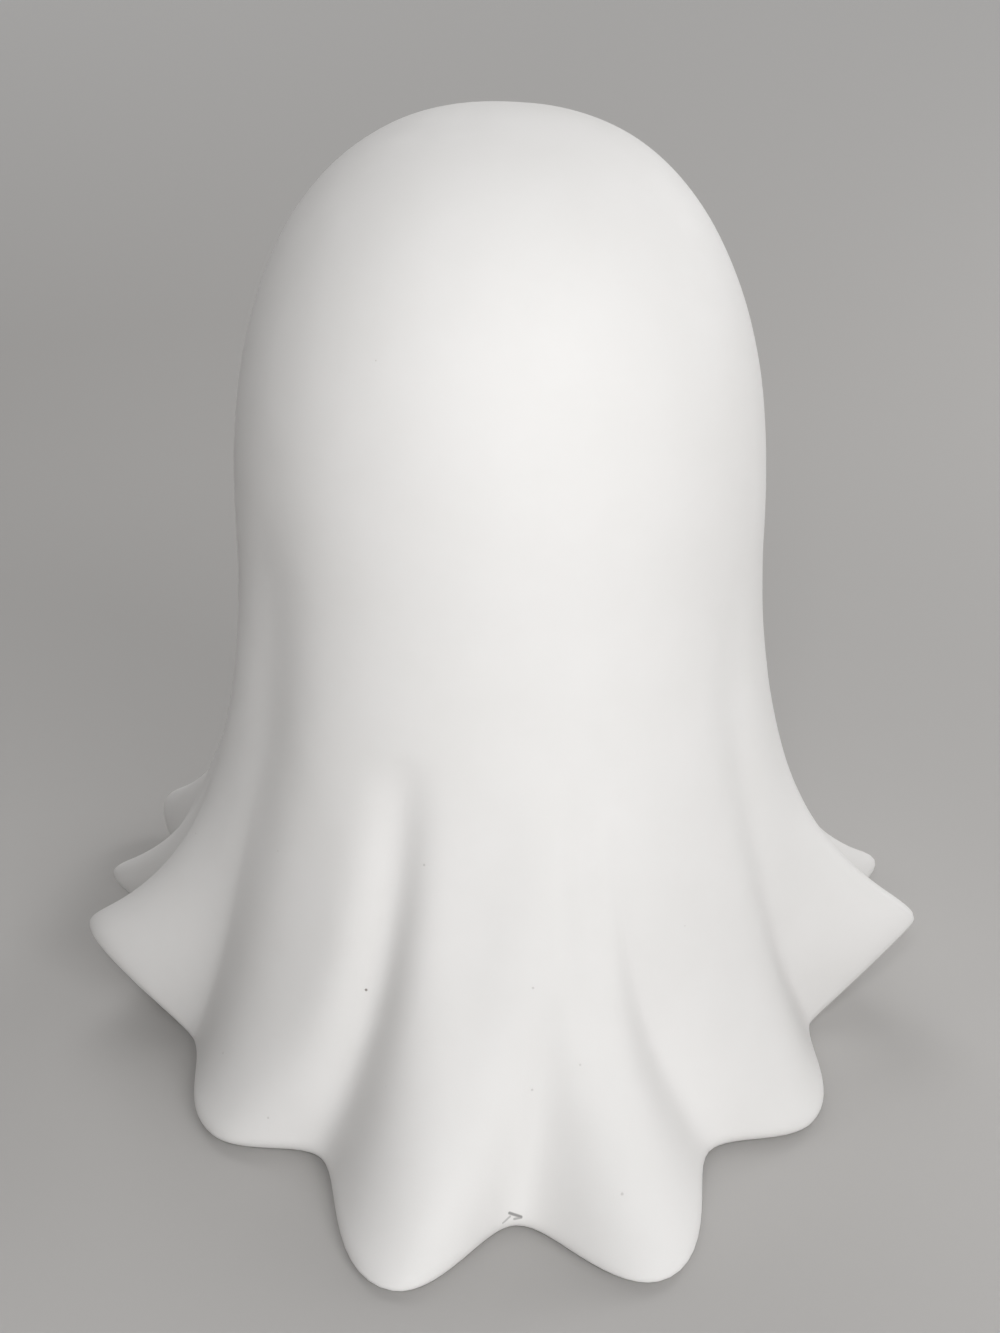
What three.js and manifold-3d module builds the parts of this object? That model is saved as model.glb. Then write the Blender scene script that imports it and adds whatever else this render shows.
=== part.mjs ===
// Tabletop ghost: a hollow ceramic sheet figure with an LED lamp held in its floor.
// Millimetres, +Z up. The origin is on the table under the middle of the figure.
// The plain back of the figure faces -Y and the cut face faces +Y.
import * as THREE from 'three';
import { mergeVertices } from 'three/addons/utils/BufferGeometryUtils.js';
import Module from 'manifold-3d';

const wasm = await Module();
wasm.setup();

// Ceramic figure
const figureHeight = 229;       // hem to crown
const wallThickness = 4.5;
const floorThickness = 5;
const headRadius = 63.6;        // widest part of the head
const headHeight = 132;         // where the head is widest, above the hem
const crownFall = 2.4;          // how late the crown starts to close in
const crownRound = 2.35;        // how full the crown's shoulder is
const crownEase = 1.5;          // rings lie closer together near the crown
const skirtRadius = 73.7;       // drape without its folds, near the hem
const skirtHeight = 46;         // where the drape reaches that radius
const hemRadius = 100;          // the folds' lengths are shares of it
const foldHeight = 101;         // where the folds start to leave the body
const foldDrift = 2.2;          // how late a fold swings round as it drops
const crestSwell = 3;           // crests turn outwards late
const valleySwell = 1.8;        // valleys turn outwards early
const hemRoll = 4;              // rounding of the bottom edge
const raisedRoll = 5;           // extra rounding on the lifted folds
const soleShare = 0.62;         // share of the hem's reach where the sole starts to lift
const recessMargin = 6.7;       // finger room round the lamp's flange in the sunk middle of the sole
const recessDraft = 1.5;
const recessDepth = 10;

// Cut face
const eyeWidth = 18;
const eyeHeight = 26;
const eyeSpacing = 43;
const eyeLevel = 160;
const eyeTilt = 8;              // degrees
const mouthWidth = 17;
const mouthHeight = 22;
const mouthLevel = 124;

// Felt pads
const padRadius = 7;
const padThickness = 1;
const padInset = 21;            // from the tip of the fold to the middle of its pad

// Lamp
const clearance = 0.3;          // between pieces that touch or slide
const boxWall = 2;
const plateThickness = 1.9;
const grommetWall = 2;
const grommetLip = 4;
const grommetBead = 1.6;
const grommetLipThickness = 1.5;
const bayWall = 1.5;
const roofThickness = 1.4;
const cellRadius = 5.25;
const cellLength = 44.5;
const cellNubRadius = 2.75;
const cellNubLength = 1;
const cellShoulder = 0.8;
const cellGap = 0.4;            // between neighbouring cells
const contactThickness = 0.5;
const contactMargin = 0.6;      // how far a contact stays inside its cell's outline
const springLength = 3.2;
const springRadius = 3.4;
const springTipRadius = 2;
const springWire = 0.35;
const springTurns = 3;
const tabWidth = 3;
const tabRise = 1;              // above the bay's roof
const doorThickness = 1.5;
const doorLap = 1.2;            // door's overlap round the bay
const doorRidgeHeight = 0.6;
const doorRidgeWidth = 1.2;
const doorRidgeCount = 4;
const doorRidgeLength = 20;
const railWall = 1.5;
const railLip = 1;
const railHold = 1.2;           // how far a rail reaches under the door
const boardRadius = 16;
const boardThickness = 1.6;
const chipSize = [5, 4, 1.5];
const chipPlace = [-5, -8.5];
const ledRadius = 2.5;
const ledRimRadius = 2.9;
const ledRimHeight = 1;
const ledHeight = 8.6;
const domeRadius = 20;
const domeWall = 1.4;
const domeFlange = 3;           // rim that the cover holds down
const domeRimThickness = 1.2;
const domeStraight = 3;
const domeRise = 15;
const coverThickness = 1.6;
const bossRadius = 3;
const bossGap = 0.9;            // from a boss to the bay, the switch and the dome's rim
const screwShankRadius = 1.1;
const screwHeadRadius = 2.4;
const screwHeadHeight = 1.4;
const screwLength = 12;
const crossLength = 2.6;
const crossWidth = 0.6;
const crossDepth = 0.8;
const switchSize = [8.6, 4.4, 5];
const switchGap = 3.9;          // from the bay to the switch
const switchSlotDepth = 2.2;
const switchTravel = 3;
const knobSize = [6, 5, 1.8];
const stemSize = [3, 2];
const leadRadius = 0.6;
const leadSpacing = 4.4;
const leadReach = 3;            // how far a lead lies on the board

// Sheet folds. Angles are in degrees from the middle of the plain back, positive towards +X,
// and lengths are shares of the hem's radius. hem is the angle at the table, rise the angle where
// the fold leaves the body, reach its radius at the hem and lift how far its hem is off the table.
const crestShares = [
  { hem: -11, rise: -4, reach: 1.2, padded: true },
  { hem: 16.5, rise: 15, reach: 1.2, padded: true },
  { hem: 51, rise: 40, reach: 0.985, padded: true },
  { hem: 82, rise: 73, reach: 1.155, lift: 0.285 },
  { hem: 116, rise: 100, reach: 1.295, lift: 0.085 },
  { hem: 137.5, rise: 129, reach: 1.3, padded: true },
  { hem: 158, rise: 154, reach: 1.26 },
  { hem: 180, rise: 180, reach: 1.185, padded: true },
  { hem: 203, rise: 207, reach: 1.26, padded: true },
  { hem: 227.5, rise: 244, reach: 1.47, lift: 0.1, swell: 2.4 },
  { hem: 248.5, rise: 263, reach: 1.275, lift: 0.1 },
  { hem: 273, rise: 291, reach: 1.15, lift: 0.225 },
  { hem: 313.5, rise: 326, reach: 0.965, padded: true },
];
// crease is the depth of the pinch that runs up the body, top the height where it fades out,
// low how far down it is deepest and width its half width in degrees.
const valleyShares = [
  { hem: 2, rise: 9.5, reach: 0.98, crease: 0.006, top: 0.9, low: 1, width: 8 },
  { hem: 36, rise: 19.5, reach: 0.88, crease: 0.028, top: 0.8, low: 1.8, width: 8 },
  { hem: 75.5, rise: 54, reach: 0.85, crease: 0.026, top: 1.35, low: 1.5, width: 6 },
  { hem: 102.5, rise: 88, reach: 0.92, lift: 0.03, crease: 0.025, top: 1.2, low: 1, width: 8 },
  { hem: 127, rise: 116, reach: 1.07, crease: 0.015, top: 1, low: 1.2, width: 7 },
  { hem: 148, rise: 142, reach: 1.04, crease: 0.02, top: 1.05, low: 1, width: 7 },
  { hem: 169, rise: 167, reach: 1, crease: 0.02, top: 1, low: 1, width: 7 },
  { hem: 191, rise: 193, reach: 0.99, crease: 0.02, top: 0.95, low: 1, width: 7 },
  { hem: 214, rise: 223, reach: 1.04, crease: 0.02, top: 1.05, low: 1, width: 7 },
  { hem: 240.5, rise: 253.5, reach: 1.19, lift: 0.06, crease: 0.015, top: 1, low: 1.2, width: 7 },
  { hem: 259, rise: 275, reach: 0.92, lift: 0.03, crease: 0.025, top: 1.2, low: 1, width: 8 },
  { hem: 290, rise: 305, reach: 0.85, crease: 0.028, top: 1.5, low: 1, width: 11 },
  { hem: 329, rise: 341.8, reach: 0.86, crease: 0.038, top: 0.99, low: 0.85, width: 5.2 },
];

const overcut = 1;              // how far a cut runs past the face that it opens

// Mesh counts
const skinStepsPerFold = 4;
const skinRows = 24;
const soleRows = 4;
const cavityStepsPerFold = 2;
const cavityRows = 12;
const roundSteps = 36;
const smallSteps = 16;

// Radii and places in the lamp, from the cells out to the recess round the flange
const cellPitch = 2 * cellRadius + cellGap;
const contactSize = 2 * (cellRadius - contactMargin);
const bayHalfWidth = cellPitch + cellRadius + clearance;
const bayHalfLength = (cellLength + springLength) / 2 + contactThickness + 2 * clearance;
const contactX = bayHalfLength - clearance - contactThickness / 2;
const doorHalfWidth = bayHalfWidth + doorLap;
const doorHalfLength = bayHalfLength + doorLap;
const domeRimRadius = domeRadius + domeFlange;
const switchOffset = bayHalfWidth + bayWall + switchGap + switchSize[1] / 2;
const bossY = bayHalfWidth + bayWall + bossGap + bossRadius;
const bossLeastX = switchSize[0] / 2 + bossGap + bossRadius;
const bossRing = Math.max(domeRimRadius + bossGap + bossRadius, Math.hypot(bossLeastX, bossY));
const bossX = Math.sqrt(bossRing ** 2 - bossY ** 2);
const bayCorner = Math.hypot(bayHalfLength + bayWall, bayHalfWidth + bayWall);
const boxRadius = Math.max(bayCorner, bossRing + bossRadius) + boxWall / 2;
const grommetInner = boxRadius + clearance;
const grommetOuter = grommetInner + grommetWall;
const holeRadius = grommetOuter + clearance;
const flangeRadius = grommetOuter + grommetLip;
const recessRadius = flangeRadius + recessMargin;
const screwHoleRadius = screwShankRadius + clearance;

// Levels above the table, from the ceramic floor down and then up through the lamp
const hemLevel = padThickness + clearance;
const recessLevel = hemLevel + recessDepth;
const floorLevel = recessLevel + floorThickness;
const lipTop = recessLevel - clearance;
const lipBottom = lipTop - grommetLipThickness;
const plateTop = lipBottom - clearance;
const plateBottom = plateTop - plateThickness;
const doorTop = plateBottom - clearance;
const doorBottom = doorTop - doorThickness;
const railLipTop = doorBottom - clearance;
const railBottom = railLipTop - railLip;
const cellLevel = doorTop + clearance + cellRadius;
const roofBottom = cellLevel + cellRadius + clearance;
const roofTop = roofBottom + roofThickness;
const boardBottom = roofTop + clearance;
const boardTop = boardBottom + boardThickness;
const chipTop = boardTop + clearance + chipSize[2];
const domeRimBottom = chipTop + clearance;
const coverBottom = domeRimBottom + domeRimThickness + clearance;
const coverTop = coverBottom + coverThickness;
const boxTop = coverBottom - clearance;

const materials = {
  ceramic: new THREE.MeshStandardMaterial({ color: 0xebe8e6, roughness: 0.72, metalness: 0 }),
  felt: new THREE.MeshStandardMaterial({ color: 0xd9d3c8, roughness: 1, metalness: 0 }),
  rubber: new THREE.MeshStandardMaterial({ color: 0x2b2b2c, roughness: 0.8, metalness: 0 }),
  whitePlastic: new THREE.MeshStandardMaterial({ color: 0xe6e4de, roughness: 0.5, metalness: 0 }),
  frosted: new THREE.MeshStandardMaterial({ color: 0xf3ead6, roughness: 0.6, metalness: 0 }),
  board: new THREE.MeshStandardMaterial({ color: 0x1f6b3a, roughness: 0.5, metalness: 0 }),
  blackPlastic: new THREE.MeshStandardMaterial({ color: 0x1c1c1d, roughness: 0.5, metalness: 0 }),
  amber: new THREE.MeshStandardMaterial({ color: 0xf2c66a, roughness: 0.2, metalness: 0 }),
  cell: new THREE.MeshStandardMaterial({ color: 0x4a5a50, roughness: 0.35, metalness: 0.6 }),
  nickel: new THREE.MeshStandardMaterial({ color: 0xbfc1c2, roughness: 0.3, metalness: 1 }),
  steel: new THREE.MeshStandardMaterial({ color: 0x9ea1a4, roughness: 0.35, metalness: 1 }),
  redWire: new THREE.MeshStandardMaterial({ color: 0xb3261e, roughness: 0.5, metalness: 0 }),
};

const group = new THREE.Group();

// Shared shape helpers

function toSolid(geometry) {
  const bare = geometry.clone();
  bare.deleteAttribute('normal');
  bare.deleteAttribute('uv');
  const merged = mergeVertices(bare, 1e-4);
  const index = merged.index.array;
  const corners = [];
  for (let i = 0; i < index.length; i += 3) {
    const [a, b, c] = [index[i], index[i + 1], index[i + 2]];
    if (a !== b && b !== c && a !== c) corners.push(a, b, c);
  }
  return new wasm.Manifold(new wasm.Mesh({
    numProp: 3,
    vertProperties: new Float32Array(merged.attributes.position.array),
    triVerts: new Uint32Array(corners),
  }));
}

function toGeometry(solid) {
  const mesh = solid.getMesh();
  const geometry = new THREE.BufferGeometry();
  geometry.setAttribute('position', new THREE.BufferAttribute(mesh.vertProperties, 3));
  geometry.setIndex(new THREE.BufferAttribute(mesh.triVerts, 1));
  geometry.computeVertexNormals();
  return geometry;
}

function place(name, solid, material) {
  const mesh = new THREE.Mesh(toGeometry(solid), material);
  mesh.name = name;
  group.add(mesh);
}

function join(solids) {
  return solids.reduce((whole, piece) => whole.add(piece));
}

function box(centreX, centreY, sizeX, sizeY, from, to) {
  const geometry = new THREE.BoxGeometry(sizeX, sizeY, to - from);
  geometry.translate(centreX, centreY, (from + to) / 2);
  return toSolid(geometry);
}

function disc(radius, from, to, x = 0, y = 0, steps = roundSteps) {
  const geometry = new THREE.CylinderGeometry(radius, radius, to - from, steps);
  geometry.rotateX(Math.PI / 2);
  geometry.translate(x, y, (from + to) / 2);
  return toSolid(geometry);
}

// A body turned about the vertical axis, from [radius, level] pairs that rise on the outside
function turned(profile, steps = roundSteps) {
  const points = profile.map(([radius, level]) => new THREE.Vector2(radius, level));
  const geometry = new THREE.LatheGeometry(points, steps);
  geometry.rotateX(Math.PI / 2);
  return toSolid(geometry);
}

function tube(points, radius, sides, steps) {
  const section = new THREE.Shape();
  for (let i = 0; i < sides; i += 1) {
    const angle = (i / sides) * 2 * Math.PI;
    const x = radius * Math.cos(angle);
    const y = radius * Math.sin(angle);
    if (i === 0) section.moveTo(x, y);
    else section.lineTo(x, y);
  }
  const path = new THREE.CatmullRomCurve3(points.map((point) => new THREE.Vector3(...point)));
  const geometry = new THREE.ExtrudeGeometry(section, { extrudePath: path, steps });
  return toSolid(geometry);
}

// A closed skin over rings of points, from one pole to the other
function closedGrid(rings) {
  const columns = rings[1].length;
  const positions = [];
  for (const ring of rings) {
    for (const point of ring) positions.push(point.x, point.y, point.z);
  }
  const index = [];
  const first = (row) => (row === 0 ? 0 : 1 + (row - 1) * columns);
  const last = rings.length - 1;
  for (let column = 0; column < columns; column += 1) {
    const next = (column + 1) % columns;
    index.push(0, first(1) + column, first(1) + next);
    for (let row = 1; row < last - 1; row += 1) {
      const a = first(row) + column;
      const b = first(row + 1) + column;
      const c = first(row + 1) + next;
      const d = first(row) + next;
      index.push(a, b, c, a, c, d);
    }
    index.push(first(last - 1) + column, first(last), first(last - 1) + next);
  }
  const geometry = new THREE.BufferGeometry();
  geometry.setAttribute('position', new THREE.Float32BufferAttribute(positions, 3));
  geometry.setIndex(index);
  return toSolid(geometry);
}

// Ghost skin

const lerp = THREE.MathUtils.lerp;
const clamp = THREE.MathUtils.clamp;

// A fold of the tables with its lengths in millimetres, and with its own swell where it has one
function sized({ reach, lift = 0, crease = 0, top = 0, ...rest }, swell) {
  return {
    swell,
    ...rest,
    reach: reach * hemRadius,
    lift: lift * hemRadius,
    crease: crease * hemRadius,
    top: top * hemRadius,
  };
}

const crests = crestShares.map((fold) => sized(fold, crestSwell));
const valleys = valleyShares.map((fold) => sized(fold, valleySwell));
const folds = [...crests, ...valleys].sort((a, b) => a.hem - b.hem);

const highestLift = Math.max(...folds.map((fold) => fold.lift));

function angleOf(fold, drop) {
  return lerp(fold.rise, fold.hem, drop ** foldDrift);
}

function heightAt(share, lift) {
  return lift + (figureHeight - lift) * (1 - share ** crownEase);
}

function bodyRadius(height) {
  if (height > headHeight) {
    const climb = clamp((height - headHeight) / (figureHeight - headHeight), 0, 1);
    return headRadius * (1 - climb ** crownFall) ** (1 / crownRound);
  }
  const climb = clamp((height - skirtHeight) / (headHeight - skirtHeight), 0, 1);
  return lerp(skirtRadius, headRadius, (1 - Math.cos(Math.PI * climb)) / 2);
}

// The pinch that the creases make in the skin at an angle and a height
function creaseDepth(angle, height, drop) {
  let depth = 0;
  for (const fold of valleys) {
    const along = clamp((fold.top - height) / fold.top, 0, 1);
    const away = THREE.MathUtils.euclideanModulo(angle - angleOf(fold, drop) + 180, 360) - 180;
    depth += fold.crease * Math.sin(Math.PI * along ** fold.low) * Math.exp(-((away / fold.width) ** 2));
  }
  return depth;
}

// A point of the skin. place counts the folds round the figure, so 2.5 is halfway from fold 2
// to fold 3, and share is the share of the way from the crown to the hem.
function skin(place, share) {
  const drop = clamp((foldHeight - heightAt(share, 0)) / foldHeight, 0, 1);
  const number = Math.floor(place);
  const before = folds[THREE.MathUtils.euclideanModulo(number, folds.length)];
  const after = folds[THREE.MathUtils.euclideanModulo(number + 1, folds.length)];
  const part = place - number;
  const start = angleOf(before, drop);
  const span = THREE.MathUtils.euclideanModulo(angleOf(after, drop) - start, 360);
  const angle = start + span * part;

  const mix = (1 - Math.cos(Math.PI * part)) / 2;
  const reach = lerp(before.reach, after.reach, mix);
  const lift = lerp(before.lift, after.lift, mix);
  const swell = lerp(before.swell, after.swell, mix);

  const height = heightAt(share, lift);
  const fallen = clamp((foldHeight - height) / (foldHeight - lift), 0, 1);
  const roll = hemRoll + (raisedRoll * lift) / highestLift;
  const up = clamp((height - lift) / roll, 0, 1);
  let radius = bodyRadius(height) + (reach - skirtRadius) * fallen ** swell;
  radius -= creaseDepth(angle, height, drop);
  radius -= roll * (1 - Math.sqrt(1 - (1 - up) ** 2));
  return { angle, radius: Math.max(radius, 0), height, lift };
}

function pointAt(angle, radius, height) {
  const turn = THREE.MathUtils.degToRad(angle);
  return new THREE.Vector3(radius * Math.sin(turn), -radius * Math.cos(turn), hemLevel + height);
}

function skinPoint(place, share) {
  const at = skin(place, share);
  return pointAt(at.angle, at.radius, at.height);
}

// The lifted part of the sole, for a share of the hem's reach
function soleRise(share) {
  return THREE.MathUtils.smoothstep(share, soleShare, 1);
}

function ringOf(stepsPerFold, pointOf) {
  return Array.from({ length: folds.length * stepsPerFold }, (_, i) => pointOf(i / stepsPerFold, i));
}

function outerSolid() {
  const rings = [[pointAt(0, 0, figureHeight)]];
  for (let row = 1; row <= skinRows; row += 1) {
    rings.push(ringOf(skinStepsPerFold, (place) => skinPoint(place, row / skinRows)));
  }
  for (let row = 1; row < soleRows; row += 1) {
    const share = lerp(1, soleShare, row / (soleRows - 1));
    rings.push(ringOf(skinStepsPerFold, (place) => {
      const at = skin(place, 1);
      return pointAt(at.angle, at.radius * share, at.lift * soleRise(share));
    }));
  }
  rings.push([pointAt(0, 0, 0)]);
  return closedGrid(rings);
}

// The skin moved in by the wall's thickness, square to the surface
function linerPoint(place, share) {
  const placeStep = 0.05;
  const shareStep = 0.005;
  const around = skinPoint(place + placeStep, share).sub(skinPoint(place - placeStep, share));
  const down = skinPoint(place, share + shareStep).sub(skinPoint(place, share - shareStep));
  const outward = down.cross(around).normalize();
  return skinPoint(place, share).addScaledVector(outward, -wallThickness);
}

function cavitySolid() {
  const rings = [[pointAt(0, 0, figureHeight - wallThickness)]];
  const footHeight = floorThickness + wallThickness;
  const lowestShare = (place) => {
    const { lift } = skin(place, 1);
    return (1 - footHeight / (figureHeight - lift)) ** (1 / crownEase);
  };
  for (let row = 1; row <= cavityRows; row += 1) {
    const share = row / cavityRows;
    rings.push(ringOf(cavityStepsPerFold, (place) => linerPoint(place, lowestShare(place) * share)));
  }
  const foot = rings[cavityRows];
  const middle = pointAt(0, 0, floorThickness);
  for (let row = 1; row < soleRows; row += 1) {
    const share = lerp(1, soleShare, row / (soleRows - 1));
    rings.push(foot.map((edge) => new THREE.Vector3(
      edge.x * share,
      edge.y * share,
      lerp(middle.z, edge.z, soleRise(share)),
    )));
  }
  rings.push([middle]);
  return closedGrid(rings);
}

// A tapered plug under the figure: the recess, or with the floor's thickness round it its inside
function recessPlug(thickness) {
  const radius = recessRadius + thickness;
  const top = recessLevel + thickness;
  return turned([
    [0, hemLevel - overcut],
    [radius, hemLevel - overcut],
    [radius - recessDraft, top],
    [0, top],
  ]);
}

// An oval bar from the middle of the figure out through its face
function ellipseCutter(width, height, x, level, tilt) {
  const length = 2 * headRadius;
  const shape = new THREE.Shape();
  shape.absellipse(0, 0, width / 2, height / 2, 0, 2 * Math.PI, false, 0);
  const geometry = new THREE.ExtrudeGeometry(shape, {
    depth: length,
    bevelEnabled: false,
    curveSegments: smallSteps / 2,
  });
  geometry.rotateZ(THREE.MathUtils.degToRad(tilt));
  geometry.rotateX(Math.PI / 2);
  geometry.translate(x, length, hemLevel + level);
  return toSolid(geometry);
}

function ghostShell() {
  const hollow = cavitySolid().subtract(recessPlug(floorThickness));
  let shell = outerSolid().subtract(hollow).subtract(recessPlug(0));
  shell = shell.subtract(disc(holeRadius, recessLevel - overcut, floorLevel + overcut));
  for (const side of [-1, 1]) {
    const eye = ellipseCutter(eyeWidth, eyeHeight, (side * eyeSpacing) / 2, eyeLevel, side * eyeTilt);
    shell = shell.subtract(eye);
  }
  shell = shell.subtract(ellipseCutter(mouthWidth, mouthHeight, 0, mouthLevel, 0));
  place('ghost_shell', shell, materials.ceramic);
}

function feltPads() {
  const padded = crests.filter((fold) => fold.padded);
  padded.forEach((fold, i) => {
    const { x, y } = pointAt(fold.hem, fold.reach - padInset, 0);
    place(`felt_pad_${i + 1}`, disc(padRadius, 0, padThickness, x, y, smallSteps), materials.felt);
  });
}

// Lamp housing

function rubberGrommet() {
  const beadBottom = floorLevel + clearance;
  const beadTop = beadBottom + grommetBead;
  place('rubber_grommet', turned([
    [grommetInner, lipBottom],
    [flangeRadius, lipBottom],
    [flangeRadius, lipTop],
    [grommetOuter, lipTop],
    [grommetOuter, beadBottom],
    [grommetOuter + grommetBead, beadBottom],
    [grommetOuter + grommetBead / 2, beadTop],
    [grommetInner, beadTop],
    [grommetInner, lipBottom],
  ]), materials.rubber);
}

function bossPlaces() {
  return [[bossX, bossY], [-bossX, bossY], [-bossX, -bossY], [bossX, -bossY]];
}

function batteryBox() {
  const railX = doorHalfLength + clearance + railWall / 2;
  const lipWidth = railWall + clearance + railHold;
  const lipX = doorHalfLength - railHold + lipWidth / 2;
  const parts = [
    disc(flangeRadius, plateBottom, plateTop),
    disc(boxRadius, plateBottom, boxTop).subtract(disc(boxRadius - boxWall, plateTop, boxTop + overcut)),
    box(0, 0, 2 * (bayHalfLength + bayWall), 2 * (bayHalfWidth + bayWall), plateBottom, roofTop),
  ];
  for (const [x, y] of bossPlaces()) {
    parts.push(disc(bossRadius, plateBottom, boxTop, x, y, smallSteps));
  }
  for (const side of [-1, 1]) {
    parts.push(box(side * railX, 0, railWall, 2 * doorHalfWidth, railBottom, plateTop));
    parts.push(box(side * lipX, 0, lipWidth, 2 * doorHalfWidth, railBottom, railLipTop));
  }
  let body = join(parts);
  body = body.subtract(box(0, 0, 2 * bayHalfLength, 2 * bayHalfWidth, doorTop, roofBottom));
  body = body.subtract(switchSlot(plateBottom - overcut, plateTop + overcut));
  for (const [x, y] of bossPlaces()) {
    body = body.subtract(disc(screwHoleRadius, coverTop - screwLength, boxTop + overcut, x, y, smallSteps));
  }
  for (const side of [-1, 1]) {
    const width = tabWidth + 2 * clearance;
    const slot = box(side * contactX, side * cellPitch, contactThickness + 2 * clearance, width,
      roofBottom - overcut, roofTop + overcut);
    body = body.subtract(slot);
  }
  place('battery_box', body, materials.whitePlastic);
}

function batteryDoor() {
  const parts = [box(0, 0, 2 * doorHalfLength, 2 * doorHalfWidth, doorBottom, doorTop)];
  for (let i = 0; i < doorRidgeCount; i += 1) {
    const y = doorHalfWidth - (i + 1) * 2 * doorRidgeWidth;
    parts.push(box(0, y, doorRidgeLength, doorRidgeWidth, doorBottom - doorRidgeHeight, doorTop));
  }
  place('battery_door', join(parts), materials.whitePlastic);
}

function lampCover() {
  let cover = disc(boxRadius, coverBottom, coverTop);
  cover = cover.subtract(disc(domeRadius + clearance, coverBottom - overcut, coverTop + overcut));
  for (const [x, y] of bossPlaces()) {
    const hole = disc(screwHoleRadius, coverBottom - overcut, coverTop + overcut, x, y, smallSteps);
    cover = cover.subtract(hole);
  }
  place('lamp_cover', cover, materials.whitePlastic);
}

function coverScrews() {
  const headBottom = coverTop + clearance;
  const headTop = headBottom + screwHeadHeight;
  bossPlaces().forEach(([x, y], i) => {
    const head = disc(screwHeadRadius, headBottom, headTop, x, y, smallSteps);
    const shank = disc(screwShankRadius, headBottom - screwLength, headTop - crossDepth, x, y, smallSteps);
    const slot = box(x, y, crossLength, crossWidth, headTop - crossDepth, headTop + overcut);
    const crossSlot = box(x, y, crossWidth, crossLength, headTop - crossDepth, headTop + overcut);
    const screw = head.add(shank).subtract(slot).subtract(crossSlot);
    place(`cover_screw_${i + 1}`, screw, materials.steel);
  });
}

function diffuserDome() {
  const rimTop = domeRimBottom + domeRimThickness;
  const straightTop = rimTop + domeStraight;
  const innerRadius = domeRadius - domeWall;
  const arcSteps = 8;
  const outer = [];
  const inner = [];
  for (let i = 0; i <= arcSteps; i += 1) {
    const turn = ((i / arcSteps) * Math.PI) / 2;
    outer.push([domeRadius * Math.cos(turn), straightTop + domeRise * Math.sin(turn)]);
    inner.push([innerRadius * Math.cos(turn), straightTop + (domeRise - domeWall) * Math.sin(turn)]);
  }
  outer[arcSteps][0] = 0;
  inner[arcSteps][0] = 0;
  place('diffuser_dome', turned([
    ...inner.reverse(),
    [innerRadius, domeRimBottom],
    [domeRimRadius, domeRimBottom],
    [domeRimRadius, rimTop],
    [domeRadius, rimTop],
    ...outer,
  ]), materials.frosted);
}

// Electronics

function circuitBoard() {
  place('circuit_board', disc(boardRadius, boardBottom, boardTop), materials.board);
  const [width, depth] = chipSize;
  const [x, y] = chipPlace;
  place('timer_chip', box(x, y, width, depth, boardTop + clearance, chipTop), materials.blackPlastic);
}

function led() {
  const bottom = boardTop + clearance;
  const shoulder = bottom + ledHeight - ledRadius;
  const arcSteps = 5;
  const arc = [];
  for (let i = 0; i < arcSteps; i += 1) {
    const turn = ((i / arcSteps) * Math.PI) / 2;
    arc.push([ledRadius * Math.cos(turn), shoulder + ledRadius * Math.sin(turn)]);
  }
  place('led', turned([
    [0, bottom],
    [ledRimRadius, bottom],
    [ledRimRadius, bottom + ledRimHeight],
    [ledRadius, bottom + ledRimHeight],
    ...arc,
    [0, bottom + ledHeight],
  ], smallSteps), materials.amber);
}

function switchSlot(from, to) {
  const [stemX, stemY] = stemSize;
  return box(0, switchOffset, stemX + switchTravel + 2 * clearance, stemY + 2 * clearance, from, to);
}

function slideSwitch() {
  const [bodyX, bodyY, bodyHeight] = switchSize;
  const bodyBottom = plateTop + clearance;
  let body = box(0, switchOffset, bodyX, bodyY, bodyBottom, bodyBottom + bodyHeight);
  body = body.subtract(switchSlot(bodyBottom - overcut, bodyBottom + switchSlotDepth));
  place('switch_body', body, materials.blackPlastic);

  const [knobX, knobY, knobHeight] = knobSize;
  const [stemX, stemY] = stemSize;
  const knobTop = plateBottom - clearance;
  const restX = -switchTravel / 2;
  const stemTop = bodyBottom + switchSlotDepth - clearance;
  const cap = box(restX, switchOffset, knobX, knobY, knobTop - knobHeight, knobTop);
  const stem = box(restX, switchOffset, stemX, stemY, knobTop - knobHeight, stemTop);
  place('switch_knob', cap.add(stem), materials.blackPlastic);
}

// A lead that rises from its solder joint, turns over in a quarter circle and lies on the board
function lead(name, foot, footLevel, end, material) {
  const sides = 6;
  const steps = 12;
  const turnSteps = 4;
  const restLevel = boardTop + clearance + leadRadius;
  const bend = restLevel - footLevel;
  const run = Math.hypot(end[0] - foot[0], end[1] - foot[1]);
  const at = (inward, level) => {
    const share = inward / run;
    return [lerp(foot[0], end[0], share), lerp(foot[1], end[1], share), level];
  };
  const route = [];
  for (let i = 0; i <= turnSteps; i += 1) {
    const turn = ((i / turnSteps) * Math.PI) / 2;
    route.push(at(bend * (1 - Math.cos(turn)), footLevel + bend * Math.sin(turn)));
  }
  route.push(at(run, restLevel));
  place(name, tube(route, leadRadius, sides, steps), material);
}

function leads() {
  const endRing = boardRadius - leadReach;
  const switchTop = plateTop + clearance + switchSize[2] + clearance;
  const x = leadSpacing / 2;
  lead('switch_lead_left', [-x, switchOffset], switchTop, [-x, endRing], materials.blackPlastic);
  lead('switch_lead_right', [x, switchOffset], switchTop, [x, endRing], materials.blackPlastic);

  const tabTop = roofTop + tabRise + clearance;
  const tabRing = Math.hypot(contactX, cellPitch);
  const endX = (contactX * endRing) / tabRing;
  const endY = (cellPitch * endRing) / tabRing;
  lead('battery_lead_black', [-contactX, -cellPitch], tabTop, [-endX, -endY], materials.blackPlastic);
  lead('battery_lead_red', [contactX, cellPitch], tabTop, [endX, endY], materials.redWire);
}

// Cells and their contacts. Cell 1 and cell 3 point to +X and cell 2 points to -X.

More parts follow.
